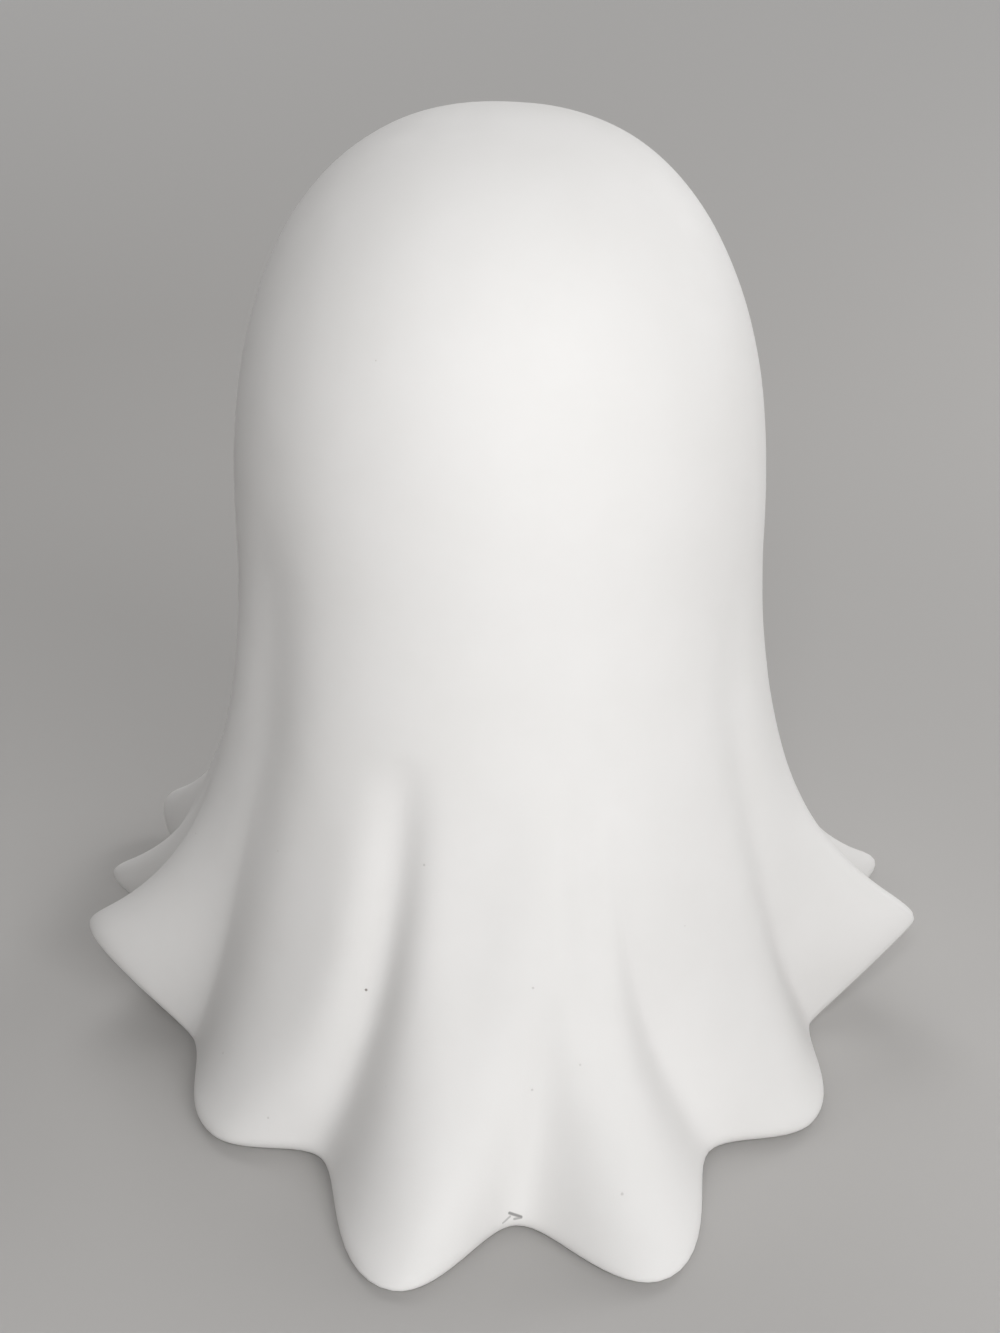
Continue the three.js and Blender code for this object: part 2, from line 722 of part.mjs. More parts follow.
function cells() {
  for (let i = 0; i < 3; i += 1) {
    const direction = i === 1 ? -1 : 1;
    const body = cellLength - cellNubLength;
    const points = [
      [0, 0],
      [cellRadius - cellShoulder, 0],
      [cellRadius, cellShoulder],
      [cellRadius, body - cellShoulder],
      [cellRadius - cellShoulder, body],
      [cellNubRadius, body],
      [cellNubRadius, cellLength],
      [0, cellLength],
    ].map(([radius, level]) => new THREE.Vector2(radius, level - cellLength / 2));
    const geometry = new THREE.LatheGeometry(points, smallSteps);
    geometry.rotateZ((-direction * Math.PI) / 2);
    geometry.translate((direction * springLength) / 2, (i - 1) * cellPitch, cellLevel);
    place(`battery_${i + 1}`, toSolid(geometry), materials.cell);
  }
}

function contactPlate(side, from, to) {
  const middle = ((from + to) / 2) * cellPitch;
  const width = (to - from) * cellPitch + contactSize;
  const bottom = cellLevel - contactSize / 2;
  return box(side * contactX, middle, contactThickness, width, bottom, bottom + contactSize);
}

function contactSpring(side, cell) {
  const stepsPerTurn = 8;
  const sides = 5;
  const steps = springTurns * stepsPerTurn;
  const sink = springWire / 2;
  const foot = contactX - contactThickness / 2 - sink;
  const rise = springLength - springWire - sink;
  const points = [];
  for (let i = 0; i <= steps; i += 1) {
    const share = i / steps;
    const turn = share * springTurns * 2 * Math.PI;
    const radius = lerp(springRadius, springTipRadius, share);
    const x = foot - rise * share;
    points.push([side * x, cell * cellPitch + radius * Math.cos(turn), cellLevel + radius * Math.sin(turn)]);
  }
  return tube(points, springWire, sides, steps);
}

function contactTab(side) {
  return box(side * contactX, side * cellPitch, contactThickness, tabWidth, cellLevel, roofTop + tabRise);
}

function contacts() {
  const negative = join([contactPlate(-1, -1, -1), contactTab(-1), contactSpring(-1, -1)]);
  const positive = join([contactPlate(1, 1, 1), contactTab(1)]);
  const left = join([contactPlate(-1, 0, 1), contactSpring(-1, 1)]);
  const right = join([contactPlate(1, -1, 0), contactSpring(1, 0)]);
  place('contact_negative', negative, materials.nickel);
  place('contact_positive', positive, materials.nickel);
  place('contact_link_left', left, materials.nickel);
  place('contact_link_right', right, materials.nickel);
}

ghostShell();
feltPads();
rubberGrommet();
batteryBox();
batteryDoor();
lampCover();
coverScrews();
diffuserDome();
circuitBoard();
led();
slideSwitch();
leads();
cells();
contacts();

export default group;
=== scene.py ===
from math import ceil, cos, hypot, pi, radians, sin

import bmesh
import bpy
import numpy as np
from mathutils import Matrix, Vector, noise
from mathutils.bvhtree import BVHTree


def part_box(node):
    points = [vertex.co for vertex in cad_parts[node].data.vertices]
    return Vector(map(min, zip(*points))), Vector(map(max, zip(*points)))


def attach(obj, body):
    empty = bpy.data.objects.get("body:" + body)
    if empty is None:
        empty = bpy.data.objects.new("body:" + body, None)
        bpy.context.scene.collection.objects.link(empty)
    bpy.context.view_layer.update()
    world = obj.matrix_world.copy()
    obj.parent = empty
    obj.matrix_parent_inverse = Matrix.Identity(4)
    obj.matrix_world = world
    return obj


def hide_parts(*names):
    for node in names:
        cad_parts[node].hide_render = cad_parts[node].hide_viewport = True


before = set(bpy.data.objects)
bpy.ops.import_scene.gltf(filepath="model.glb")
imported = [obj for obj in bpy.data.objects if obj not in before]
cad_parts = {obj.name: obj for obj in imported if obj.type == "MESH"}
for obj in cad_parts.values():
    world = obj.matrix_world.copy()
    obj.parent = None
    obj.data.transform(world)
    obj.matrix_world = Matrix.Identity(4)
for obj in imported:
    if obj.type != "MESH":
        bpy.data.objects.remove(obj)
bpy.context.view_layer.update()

mm = 0.001
made = {}  # finished materials by the names of the record's slots
print("frame loaded:", len(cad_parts), "nodes")


# Tables, shares and meshes. Shapes are worked out in millimetres and written in metres.

def table(head, *rows):
    # Each row as a dictionary, by the words of the head
    return [dict(zip(head.split(), row)) for row in rows]


def around(turns):
    # Points of a circle of radius 1
    return [(cos(turn), sin(turn)) for turn in turns]


def circle(steps):
    return around(np.linspace(0, 2 * pi, steps, endpoint=False))


def quarter(steps):
    return around(np.linspace(0, pi / 2, steps + 1))


def parts(count):
    # Even steps up to 1, without the 0
    return np.linspace(0, 1, count + 1)[1:]


def mixed(low, high, share):
    return low + (high - low) * share


def between(value, low, high):
    # How far a value is on its way, held between 0 and 1
    return np.clip((value - low) / (high - low), 0, 1)


def placed(name, data):
    thing = bpy.data.objects.new(name, data)
    bpy.context.scene.collection.objects.link(thing)
    return thing


def newObject(name, points, faces, material):
    mesh = bpy.data.meshes.new(name)
    mesh.from_pydata((np.asarray(points, float) * mm).tolist(), [], [tuple(face) for face in faces])
    mesh.polygons.foreach_set("use_smooth", [True] * len(mesh.polygons))
    mesh.materials.append(material)
    mesh.update()
    return placed(name, mesh)


def addPiece(name, shape, finish, stands=None, body="root"):
    # A piece on its body, in the slot of its finish, standing for a solid of the frame
    piece = newObject(name, *shape, made[finish])
    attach(piece, body)
    if stands:
        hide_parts(stands)
    return piece


def softened(corners, radius, steps=3, closed=False):
    # A profile with each inner corner turned into a short curve
    corners = [np.array(corner, float) for corner in corners]
    count = len(corners)
    most = 0.45  # share of a side that one corner may take
    smoothed = []
    for i, corner in enumerate(corners):
        if not closed and i in (0, count - 1):
            smoothed.append(corner)
            continue
        before, after = corners[i - 1], corners[(i + 1) % count]
        lengths = [np.linalg.norm(other - corner) for other in (before, after)]
        reach = min(radius, most * min(lengths))
        start = corner + (before - corner) / lengths[0] * reach
        end = corner + (after - corner) / lengths[1] * reach
        for part in np.linspace(0, 1, steps + 1):
            smoothed.append((1 - part) ** 2 * start + 2 * part * (1 - part) * corner + part ** 2 * end)
    return smoothed


def faceOut(mesh):
    sameSpot = 1e-7
    shape = bmesh.new()
    shape.from_mesh(mesh)
    bmesh.ops.remove_doubles(shape, verts=shape.verts, dist=sameSpot)
    bmesh.ops.recalc_face_normals(shape, faces=shape.faces)
    shape.to_mesh(mesh)
    shape.free()


def bands(loops):
    # Faces between each loop of point numbers and the next
    for first, second in zip(loops, loops[1:]):
        for i in range(len(first)):
            j = (i + 1) % len(first)
            yield first[i], first[j], second[j], second[i]


def stacked(rings, looped=False, capped=False):
    # Points and faces of a skin over rings that have equally many points
    count = len(rings[0])
    points = [tuple(point) for ring in rings for point in ring]
    loops = [range(start, start + count) for start in range(0, len(points), count)]
    faces = list(bands(loops + loops[:1] if looped else loops))
    if capped:
        faces.append(tuple(range(count))[::-1])
        faces.append(tuple(range(len(points) - count, len(points))))
    return points, faces


def slab(inner, outer, low, high):
    return [(inner, low), (outer, low), (outer, high), (inner, high)]


def turnedMesh(profile, steps, closed=False):
    # A profile of (radius, level) turned about the vertical axis
    rings = [[(radius * x, radius * y, level) for x, y in circle(steps)] for radius, level in profile]
    return stacked(rings, looped=closed)


def roundedOutline(halfX, halfY, corner, inset, steps=5):
    least = 0.05
    corner = max(corner - inset, least)
    outline = []
    for side, (signX, signY) in enumerate(((1, 1), (-1, 1), (-1, -1), (1, -1))):
        x, y = signX * (halfX - inset - corner), signY * (halfY - inset - corner)
        for part in range(steps + 1):
            turn = pi / 2 * (side + part / steps)
            outline.append((x + corner * cos(turn), y + corner * sin(turn)))
    return outline


def blockMesh(centre, size, low, high, corner=0.4, edge=0.25, steps=3):
    # A box with rounded corners and edges
    edges = [(edge * (1 - y), edge * (1 - x)) for x, y in quarter(steps)]
    rings = []
    rows = [(inset, low + rise) for inset, rise in edges]
    rows += [(inset, high - rise) for inset, rise in reversed(edges)]
    for inset, level in rows:
        outline = roundedOutline(size[0] / 2, size[1] / 2, corner, inset)
        rings.append([(x, y, level) for x, y in outline])
    return moved(stacked(rings, capped=True), *centre)


def sweptMesh(path, radius, sides):
    # A round wire along a path, closed by flat ends
    path = np.array(path, float)
    tangents = np.gradient(path, axis=0)
    tangents /= np.linalg.norm(tangents, axis=1)[:, None]
    normal = np.cross(tangents[0], (0.3, 0.5, 0.8))  # any direction across the first tangent
    rings = []
    for place, tangent in zip(path, tangents):
        normal = normal - tangent * np.dot(normal, tangent)
        normal /= np.linalg.norm(normal)
        across = np.cross(tangent, normal)
        rings.append([place + radius * (x * normal + y * across) for x, y in circle(sides)])
    return stacked(rings, capped=True)


def moved(shape, x, y):
    return [(px + x, py + y, pz) for px, py, pz in shape[0]], shape[1]


def merged(*meshes):
    points, faces = [], []
    for some, theirs in meshes:
        start = len(points)
        points += [tuple(point) for point in some]
        faces += [tuple(start + corner for corner in face) for face in theirs]
    return points, faces


crisp, gentle = 35, 50  # degrees from which an edge stays sharp, on carved and on round parts


def solidPiece(name, shape, finish, stands=None, body="root", sharp=40):
    piece = addPiece(name, shape, finish, stands, body)
    faceOut(piece.data)
    piece.data.set_sharp_from_angle(angle=radians(sharp))
    return piece


def carved(name, steps, finish, stands, body="root"):
    # Joins and cuts closed shapes in the order given, with the first one as the start
    objects = [newObject(name + "_step", *shape, made[finish]) for _, shape in steps]
    for thing in objects:
        faceOut(thing.data)
    first, *tools = objects
    for (operation, _), tool in zip(steps[1:], tools):
        modifier = first.modifiers.new("join", "BOOLEAN")
        modifier.operation = operation
        modifier.solver = "EXACT"
        modifier.object = tool
    bpy.context.view_layer.update()
    result = bpy.data.meshes.new_from_object(first.evaluated_get(bpy.context.evaluated_depsgraph_get()))
    points = [tuple(vertex.co / mm) for vertex in result.vertices]
    faces = [tuple(polygon.vertices) for polygon in result.polygons]
    for thing in objects:
        bpy.data.objects.remove(thing)
    bpy.data.meshes.remove(result)
    return solidPiece(name, (points, faces), finish, stands, body, crisp)


# Shader nodes

class Wiring:
    # The nodes of a material or of the world, with short ways to add and join them

    def __init__(self, owner, shader):
        owner.use_nodes = True
        self.owner = owner
        self.nodes = owner.node_tree.nodes
        self.links = owner.node_tree.links
        self.shader = self.nodes[shader]

    def plug(self, socket, value):
        if isinstance(value, bpy.types.NodeSocket):
            self.links.new(value, socket)
        elif socket.type == "RGBA":
            socket.default_value = (*value, 1)
        else:
            socket.default_value = value

    def fill(self, node, inputs):
        for socket, value in inputs.items():
            self.plug(node.inputs[socket], value)
        return node

    def add(self, kind, inputs, **settings):
        node = self.nodes.new("ShaderNode" + kind)
        for setting, value in settings.items():
            setattr(node, setting, value)
        return self.fill(node, inputs)

    def finish(self, inputs):
        self.fill(self.shader, inputs)
        return self.owner

    def noise(self, scale, detail=3, roughness=0.5, distortion=0, vector=None):
        return self.add("TexNoise", {
            "Vector": vector or self.place, "Scale": scale, "Detail": detail, "Roughness": roughness,
            "Distortion": distortion,
        }).outputs["Fac"]

    def span(self, value, fromLow, fromHigh, toLow=0, toHigh=1):
        return self.add("MapRange", {
            "Value": value, "From Min": fromLow, "From Max": fromHigh, "To Min": toLow, "To Max": toHigh,
        }).outputs["Result"]

    def reckon(self, operation, first, second):
        return self.add("Math", {0: first, 1: second}, operation=operation).outputs[0]

    def mix(self, factor, first, second):
        node = self.add("Mix", {"Factor": factor, "A": first, "B": second}, data_type="RGBA")
        return node.outputs["Result"]

    def bump(self, height, strength, distance, **under):
        return self.add("Bump", {
            "Height": height, "Strength": strength, "Distance": distance, **under,
        }).outputs["Normal"]


def newMaterial(name):
    kit = Wiring(bpy.data.materials.new(name), "Principled BSDF")
    kit.place = kit.add("TexCoord", {}).outputs["Object"]
    return kit


# Camera, where the picture was taken from

view = {
    "width": 1000, "height": 1333, "focal": 1600,  # in pixels of that picture
    "distance": 375.1, "rise": 246,  # from the figure's axis and above the hem, mm
    "pitch": 22.04,  # degrees down
    "sensor": 36,
}
hemLevel = 1.3


def addCamera():
    data = bpy.data.cameras.new("camera")
    data.sensor_width = view["sensor"]
    data.lens = view["sensor"] * view["focal"] / view["height"]
    camera = placed("camera", data)
    camera.location = (0, -view["distance"] * mm, (view["rise"] + hemLevel) * mm)
    camera.rotation_euler = (radians(90 - view["pitch"]), 0, 0)
    bpy.context.scene.camera = camera
    bpy.context.view_layer.update()
    return camera


camera = addCamera()
print("camera set")


# The ceramic sheet: its form, in millimetres and degrees. The crown's fall, round and ease, the
# folds' drift and the swells are powers.

ghost = {
    "height": 229,  # hem to crown
    "wall": 4.5, "foldWall": 1.15,  # the second is the share of it that the folds have
    "headRadius": 63.6, "headHeight": 132, "crownFall": 2.4, "crownRound": 2.35, "crownEase": 1.5,
    "skirtRadius": 73.7, "skirtHeight": 46, "foldHeight": 101, "foldDrift": 2.2, "valleySwell": 1.8,
    "hemRoll": 4, "raisedRoll": 5,
    "soleShare": 0.62,  # of the reach, where the sole starts to rise to a lifted hem
    "footHeight": 12,  # where the inner wall meets the floor
    "headStart": 113,  # above this the wall is a plain body of revolution
}
meshing = {"stepsPerFold": 14, "rows": 160, "hemRows": 18, "hemHeight": 13}

# Angles run from the middle of the plain back, positive towards +X, as the frame has them.
crests = table(
    "hem rise reach lift swell",
    (-11, -4, 120, 0, 3),
    (16.5, 15, 120, 0, 3),
    (51, 40, 98.5, 0, 3),
    (82, 73, 115.5, 28.5, 3),
    (116, 100, 129.5, 8.5, 3),
    (137.5, 129, 130, 0, 3),
    (158, 154, 126, 0, 3),
    (180, 180, 118.5, 0, 3),
    (203, 207, 126, 0, 3),
    (227.5, 244, 147, 10, 2.4),
    (248.5, 263, 127.5, 10, 3),
    (273, 291, 115, 22.5, 3),
    (313.5, 326, 96.5, 0, 3),
)
valleys = table(
    "hem rise reach lift crease top low width",
    (2, 9.5, 98, 0, 0.6, 90, 1, 8),
    (36, 19.5, 88, 0, 2.8, 80, 1.8, 8),
    (75.5, 54, 85, 0, 2.6, 135, 1.5, 6),
    (102.5, 88, 92, 3, 2.5, 120, 1, 8),
    (127, 116, 107, 0, 1.5, 100, 1.2, 7),
    (148, 142, 104, 0, 2, 105, 1, 7),
    (169, 167, 100, 0, 2, 100, 1, 7),
    (191, 193, 99, 0, 2, 95, 1, 7),
    (214, 223, 104, 0, 2, 105, 1, 7),
    (240.5, 253.5, 119, 6, 1.5, 100, 1.2, 7),
    (259, 275, 92, 3, 2.5, 120, 1, 8),
    (290, 305, 85, 0, 2.8, 150, 1, 11),
    (329, 341.8, 86, 0, 3.8, 99, 0.85, 5.2),
)
openings = table(  # two eyes and a mouth
    "x level width height tilt",
    (-21.5, 160, 18, 26, -8),
    (21.5, 160, 18, 26, 8),
    (0, 124, 17, 22, 0),
)
openingEdge = {"lip": 1.4, "margin": 5, "fanRings": 5, "lipSteps": 4, "wallRings": 2}

folds = sorted(crests + [{"swell": ghost["valleySwell"], **fold} for fold in valleys],
               key=lambda fold: fold["hem"])
columns = len(folds) * meshing["stepsPerFold"]


def foldArray(key):
    return np.array([fold[key] for fold in folds], float)


def heightAt(share, lift):
    return lift + (ghost["height"] - lift) * (1 - share ** ghost["crownEase"])


def shareAt(height):
    return (1 - height / ghost["height"]) ** (1 / ghost["crownEase"])


def bodyRadius(height):
    climb = between(height, ghost["headHeight"], ghost["height"])
    crown = ghost["headRadius"] * (1 - climb ** ghost["crownFall"]) ** (1 / ghost["crownRound"])
    rise = between(height, ghost["skirtHeight"], ghost["headHeight"])
    drape = mixed(ghost["skirtRadius"], ghost["headRadius"], (1 - np.cos(np.pi * rise)) / 2)
    return np.where(height > ghost["headHeight"], crown, drape)


def skinGrid(places, shares):
    share = shares[:, None]
    fall = np.clip(1 - heightAt(share, 0) / ghost["foldHeight"], 0, 1)
    drift = fall ** ghost["foldDrift"]
    turns = mixed(foldArray("rise"), foldArray("hem"), drift)
    before = np.floor(places).astype(int) % len(folds)
    after = (before + 1) % len(folds)
    part = places - np.floor(places)
    start = turns[:, before]
    angle = start + (turns[:, after] - start) % 360 * part
    mix = (1 - np.cos(np.pi * part)) / 2
    reach, lift, swell = (mixed(foldArray(key)[before], foldArray(key)[after], mix)
                          for key in ("reach", "lift", "swell"))

    height = heightAt(share, lift)
    fallen = between(height, ghost["foldHeight"], lift)
    radius = bodyRadius(height) + (reach - ghost["skirtRadius"]) * fallen ** swell
    for fold in valleys:
        along = np.clip(1 - height / fold["top"], 0, 1)
        away = (angle - mixed(fold["rise"], fold["hem"], drift) + 180) % 360 - 180
        pinch = np.exp(-(away / fold["width"]) ** 2)
        radius = radius - fold["crease"] * np.sin(np.pi * along ** fold["low"]) * pinch
    roll = ghost["hemRoll"] + ghost["raisedRoll"] * lift / max(foldArray("lift"))
    up = np.clip((height - lift) / roll, 0, 1)
    radius = radius - roll * (1 - np.sqrt(1 - (1 - up) ** 2))
    return angle, np.maximum(radius, 0), height, lift


def pointsAt(angle, radius, height):
    turn = np.radians(angle)
    return np.stack(np.broadcast_arrays(
        radius * np.sin(turn), -radius * np.cos(turn), hemLevel + height), -1)


def smoothRise(share):
    part = between(share, ghost["soleShare"], 1)
    return part * part * (3 - 2 * part)


# The floor of the figure, in from the hem: the sunk middle of the sole and the lamp's hole.
# Levels are above the hem.
floorForm = {
    "recessRadius": 46, "recessDraft": 1.5, "recessDepth": 10, "thickness": 5, "holeRadius": 35.6,
    "edge": 1, "soleRings": 13, "insideRings": 7,
}


def floorRings(hem):
    # Rings from the hem in across the sole, up through the hole and out over the floor
    angle, reach, lift = hem
    edge = floorForm["edge"]
    bend = 0.3 * edge  # how far the middle of a rounded corner lies from its sides
    recess, hole, depth = floorForm["recessRadius"], floorForm["holeRadius"], floorForm["recessDepth"]
    thick, draft = floorForm["thickness"], floorForm["recessDraft"]
    deep, top = recess - draft, depth + thick
    rings = []
    soleStart = recess + 3 * edge
    for share in np.linspace(1, 0, floorForm["soleRings"] + 1)[1:]:
        radius = mixed(soleStart, reach, share)
        rings.append(pointsAt(angle, radius, lift * smoothRise(radius / reach)))
    path = [
        (recess + edge, 0), (recess + bend, bend), (recess, edge), (recess - draft / 2, depth / 2),
        (deep, depth - edge), (deep - bend, depth - bend), (deep - edge, depth),
        ((recess + hole) / 2, depth), (hole + edge, depth), (hole + bend, depth + bend),
        (hole, depth + edge), (hole, top - edge), (hole + bend, top - bend), (hole + edge, top),
        (deep + thick / 2, top), (deep + thick, top - edge), (recess + thick, thick + edge),
        (recess + thick + edge, thick),
    ]
    return rings + [pointsAt(angle, radius, level) for radius, level in path]


def innerSkin(skin, rows):
    # The skin moved in by the wall: square to it on the head, and evened out under the folds
    angle, radius, height = (part[:rows] for part in skin[:3])
    step = 0.01
    slope = (bodyRadius(height + step) - bodyRadius(height - step)) / (2 * step)
    steep = np.sqrt(1 + slope ** 2)
    lean = 3  # columns on each side that a fold's inside is evened over
    evened = radius.copy()
    for shift in range(-lean, lean + 1):
        evened = np.minimum(evened, np.roll(radius, shift, 1))
    headRadius = radius - ghost["wall"] / steep
    headLevel = height + ghost["wall"] * slope / steep
    share = between(height, ghost["foldHeight"], ghost["headStart"])
    inner = mixed(evened - ghost["wall"] * ghost["foldWall"], headRadius, share)
    level = mixed(height, headLevel, share)
    return angle, np.maximum(inner, 0), level


def openingRings(opening, outerRim, innerRim, outerDepth, innerDepth):
    # Rings from the rim of a block of the outer skin, over the rounded lip, to the inner skin's block
    tilt = radians(opening["tilt"])
    centre = np.array([opening["x"], hemLevel + opening["level"]])
    half = np.array([opening["width"], opening["height"]]) / 2
    turned = np.array([[cos(tilt), -sin(tilt)], [sin(tilt), cos(tilt)]])
    local = (outerRim[:, [0, 2]] - centre) @ turned.T / half
    turns = np.arctan2(local[:, 1], local[:, 0])
    lip = openingEdge["lip"]

    def oval(grow):
        return centre + np.stack([np.cos(turns), np.sin(turns)], -1) * (half + grow) @ turned

    def approach(rim, depth, into):
        for part in parts(openingEdge["fanRings"]):
            flat = mixed(rim[:, [0, 2]], oval(lip), part)
            yield flat, depth(flat)
        for x, y in quarter(openingEdge["lipSteps"])[1:]:
            flat = oval(lip * (1 - y))
            yield flat, depth(flat) + into * lip * (1 - x)

    front = list(approach(outerRim, outerDepth, -1))
    back = list(approach(innerRim, innerDepth, 1))[::-1]
    bore = [(front[-1][0], mixed(front[-1][1], back[0][1], part))
            for part in parts(openingEdge["wallRings"] + 1)[:-1]]
    return [np.stack([flat[:, 0], depth, flat[:, 1]], -1) for flat, depth in front + bore + back]


def skinShares():
    hemHeight = meshing["hemHeight"]
    close = [shareAt(hemHeight * (1 - y)) for _, y in quarter(meshing["hemRows"])[1:]]
    return np.concatenate([shareAt(hemHeight) * parts(meshing["rows"]), close])


def insideRings(hem, angle, radius):
    # Rings over the inside of the sole, out to the foot of the inner wall
    edge, thick = floorForm["edge"], floorForm["thickness"]
    start = floorForm["recessRadius"] + thick + 2 * edge
    for share in parts(floorForm["insideRings"]):
        reach = mixed(start, radius - edge, share)
        yield pointsAt(angle, reach, thick + hem[2] * smoothRise(reach / hem[1]))


def blockAround(opening, outer):
    # First and last row and column of the outer skin's block that an opening takes the place of
    reachX, reachZ = (opening[key] / 2 + openingEdge["margin"] for key in ("width", "height"))
    level = hemLevel + opening["level"]
    rows = np.nonzero(np.abs(outer[:, columns // 2, 2] - level) < reachZ)[0]
    middle = outer[rows[len(rows) // 2]]
    inside = np.nonzero((np.abs(middle[:, 0] - opening["x"]) < reachX) & (middle[:, 1] > 0))[0]
    return rows[0] + 1, rows[-1] + 1, inside[0], inside[-1]


def buildGhost():
    shares = skinShares()
    skin = skinGrid(np.arange(columns) / meshing["stepsPerFold"], shares)
    outer = pointsAt(*skin[:3])
    hem = skin[0][-1], skin[1][-1], skin[3]
    innerRows = int(np.searchsorted(shares, shareAt(ghost["footHeight"])))
    angle, radius, level = innerSkin(skin, innerRows)
    crown, innerCrown = (np.tile(pointsAt(0, 0, height), (columns, 1))
                         for height in (ghost["height"], ghost["height"] - ghost["wall"]))
    rings = [crown, *outer, *floorRings(hem), *insideRings(hem, angle[-1], radius[-1])]
    innerEnd = len(rings) + innerRows  # an outer ring's number and its inner one's add up to this
    rings += [*pointsAt(angle, radius, level)[::-1], innerCrown]

    points = np.concatenate(rings)
    number = np.arange(len(points)).reshape(len(rings), columns)
    number[0] = number[0, 0]
    number[-1] = number[-1, 0]
    keep = np.ones((len(rings) - 1, columns), bool)
    profile = sorted(zip(hemLevel + level[:, 0], radius[:, 0]))

    def outerDepth(flat):
        return np.sqrt(bodyRadius(flat[:, 1] - hemLevel) ** 2 - flat[:, 0] ** 2)

    def innerDepth(flat):
        return np.sqrt(np.interp(flat[:, 1], *zip(*profile)) ** 2 - flat[:, 0] ** 2)

    patches, extra = [], []
    total = len(points)
    for opening in openings:
        top, bottom, left, right = blockAround(opening, outer)
        rim = ([(row, left) for row in range(top, bottom)]
               + [(bottom, column) for column in range(left, right)]
               + [(row, right) for row in range(bottom, top, -1)]
               + [(top, column) for column in range(right, left, -1)])
        outerLoop = [number[row, column] for row, column in rim]
        innerLoop = [number[innerEnd - row, column] for row, column in rim]
        keep[top:bottom, left:right] = False
        keep[innerEnd - bottom:innerEnd - top, left:right] = False
        loops = [outerLoop]
        for ring in openingRings(opening, points[outerLoop], points[innerLoop], outerDepth, innerDepth):
            loops.append(list(range(total, total + len(ring))))
            extra.append(ring)
            total += len(ring)
        loops.append(innerLoop)
        patches += bands(loops)
    points = np.concatenate([points, *extra])

    faces = []
    for row in range(len(rings) - 1):
        for column in np.nonzero(keep[row])[0]:
            after = (column + 1) % columns
            corners = [*number[row:row + 2, column], *number[row:row + 2, after][::-1]]
            faces.append([corner for i, corner in enumerate(corners) if corner != corners[i - 1]])
    faces += patches
    used, numbers = np.unique(np.concatenate(faces), return_inverse=True)
    ends = np.cumsum([len(face) for face in faces])[:-1]
    piece = addPiece("ghost_sheet", (points[used], np.split(numbers, ends)), "bisque", "ghost_shell")
    handFinish(piece)
    return piece


# The slight unevenness that sponging leaves in the clay

sponging = {"broad": 0.28, "broadSpan": 34, "fine": 0.07, "fineSpan": 11,
            "flat": 2, "blend": 10}  # the sole stays flat, mm


def handFinish(piece):
    mesh = piece.data
    points, normals = np.zeros((2, len(mesh.vertices), 3))
    mesh.vertices.foreach_get("co", points.ravel())
    mesh.vertices.foreach_get("normal", normals.ravel())
    heave = sum(sponging[size] * np.array([noise.noise(Vector(point) * (1 / (sponging[span] * mm)))
                                           for point in points])
                for size, span in (("broad", "broadSpan"), ("fine", "fineSpan")))
    low = (hemLevel + sponging["flat"]) * mm
    settle = np.clip((points[:, 2] - low) / (sponging["blend"] * mm), 0, 1)
    points += normals * (heave * settle * mm)[:, None]
    mesh.vertices.foreach_set("co", points.ravel())
    mesh.update()


# Bisque: matte white ceramic with faint mottling, pinholes and one scuff; the dark colour in the pinholes
# is painted shade in their pits. Noise is given as scale, detail and roughness, here and in the finishes
# below.

bisque = {
    "light": (0.85, 0.84, 0.83), "shade": (0.83, 0.82, 0.807),
    "mottle": (38, 4, 0.55), "mottleSpan": (0.35, 0.7),
    "sponged": (160, 3, 0.6), "spongedSpan": (0.3, 0.7), "roughness": (0.58, 0.72), "specular": 0.35,
    "grain": (2200, 2, 0.6), "grainDepth": (0.05, 0.0002),
    # the pinhole colour is painted shade inside the pinhole pits; the pits themselves come from the bump
    "pinholeShade": (0.30, 0.27, 0.25), "pinholeDepth": (0.5, 0.0003), "scuff": (0.24, 0.235, 0.23),
    "fade": 0.45,  # soft share of a mark's radius
    "strayScale": 120,  # sparse pinholes all over, cells to a metre
    # the stray pinholes' darkening is painted shade inside their pits
    "strayShare": 0.88, "strayRadius": 0.030, "strayPitShade": 0.45,  # the radius in cells
}

# Marks in the plain back, at the pixels of the picture where they lie, radii in mm
# each pinhole is a small pit, and the darkness given for it is painted shade in the pit
pinholes = table(
    "across down radius dark",
    (366, 990, 0.42, 0.95),
    (424, 865, 0.36, 0.35),
    (268, 1118, 0.36, 0.25),
    (223, 1053, 0.36, 0.25),
    (533, 988, 0.36, 0.30),
    (580, 1065, 0.34, 0.22),
    (532, 1090, 0.36, 0.30),
    (622, 1194, 0.40, 0.35),
)
scuffs = table(
    "from to radius dark",
    ((503, 1223), (510, 1216.5), 0.34, 0.50),
    ((509.5, 1213), (521, 1216.8), 0.44, 0.85),
    ((514.5, 1219), (521, 1217.5), 0.40, 0.60),
)
scuffStep = 1  # pixels between the dabs that a scuff is made of


def seenPoint(tree, mark):
    across = (mark["across"] - view["width"] / 2) / view["focal"]
    down = (mark["down"] - view["height"] / 2) / view["focal"]
    ray = camera.matrix_world.to_3x3() @ Vector((across, -down, -1))
    return tree.ray_cast(camera.location, ray.normalized())[0]


def dabs(scuff):
    start, end = np.array(scuff["from"]), np.array(scuff["to"])
    count = ceil(np.linalg.norm(end - start) / scuffStep)
    for share in np.linspace(0, 1, count + 1):
        across, down = mixed(start, end, share)
        yield {**scuff, "across": across, "down": down}


def shadeOf(kit, tree, marks):
    # How dark a spot is by the marks on it, the middle of each at full strength
    total = 0
    for mark in marks:
        point = seenPoint(tree, mark)
        if point is not None:
            away = kit.add("VectorMath", {0: kit.place, 1: point}, operation="DISTANCE").outputs["Value"]
            radius = mark["radius"] * mm
            shade = kit.span(away, radius * bisque["fade"], radius, mark["dark"], 0)
            total = kit.reckon("MAXIMUM", total, shade)
    return total


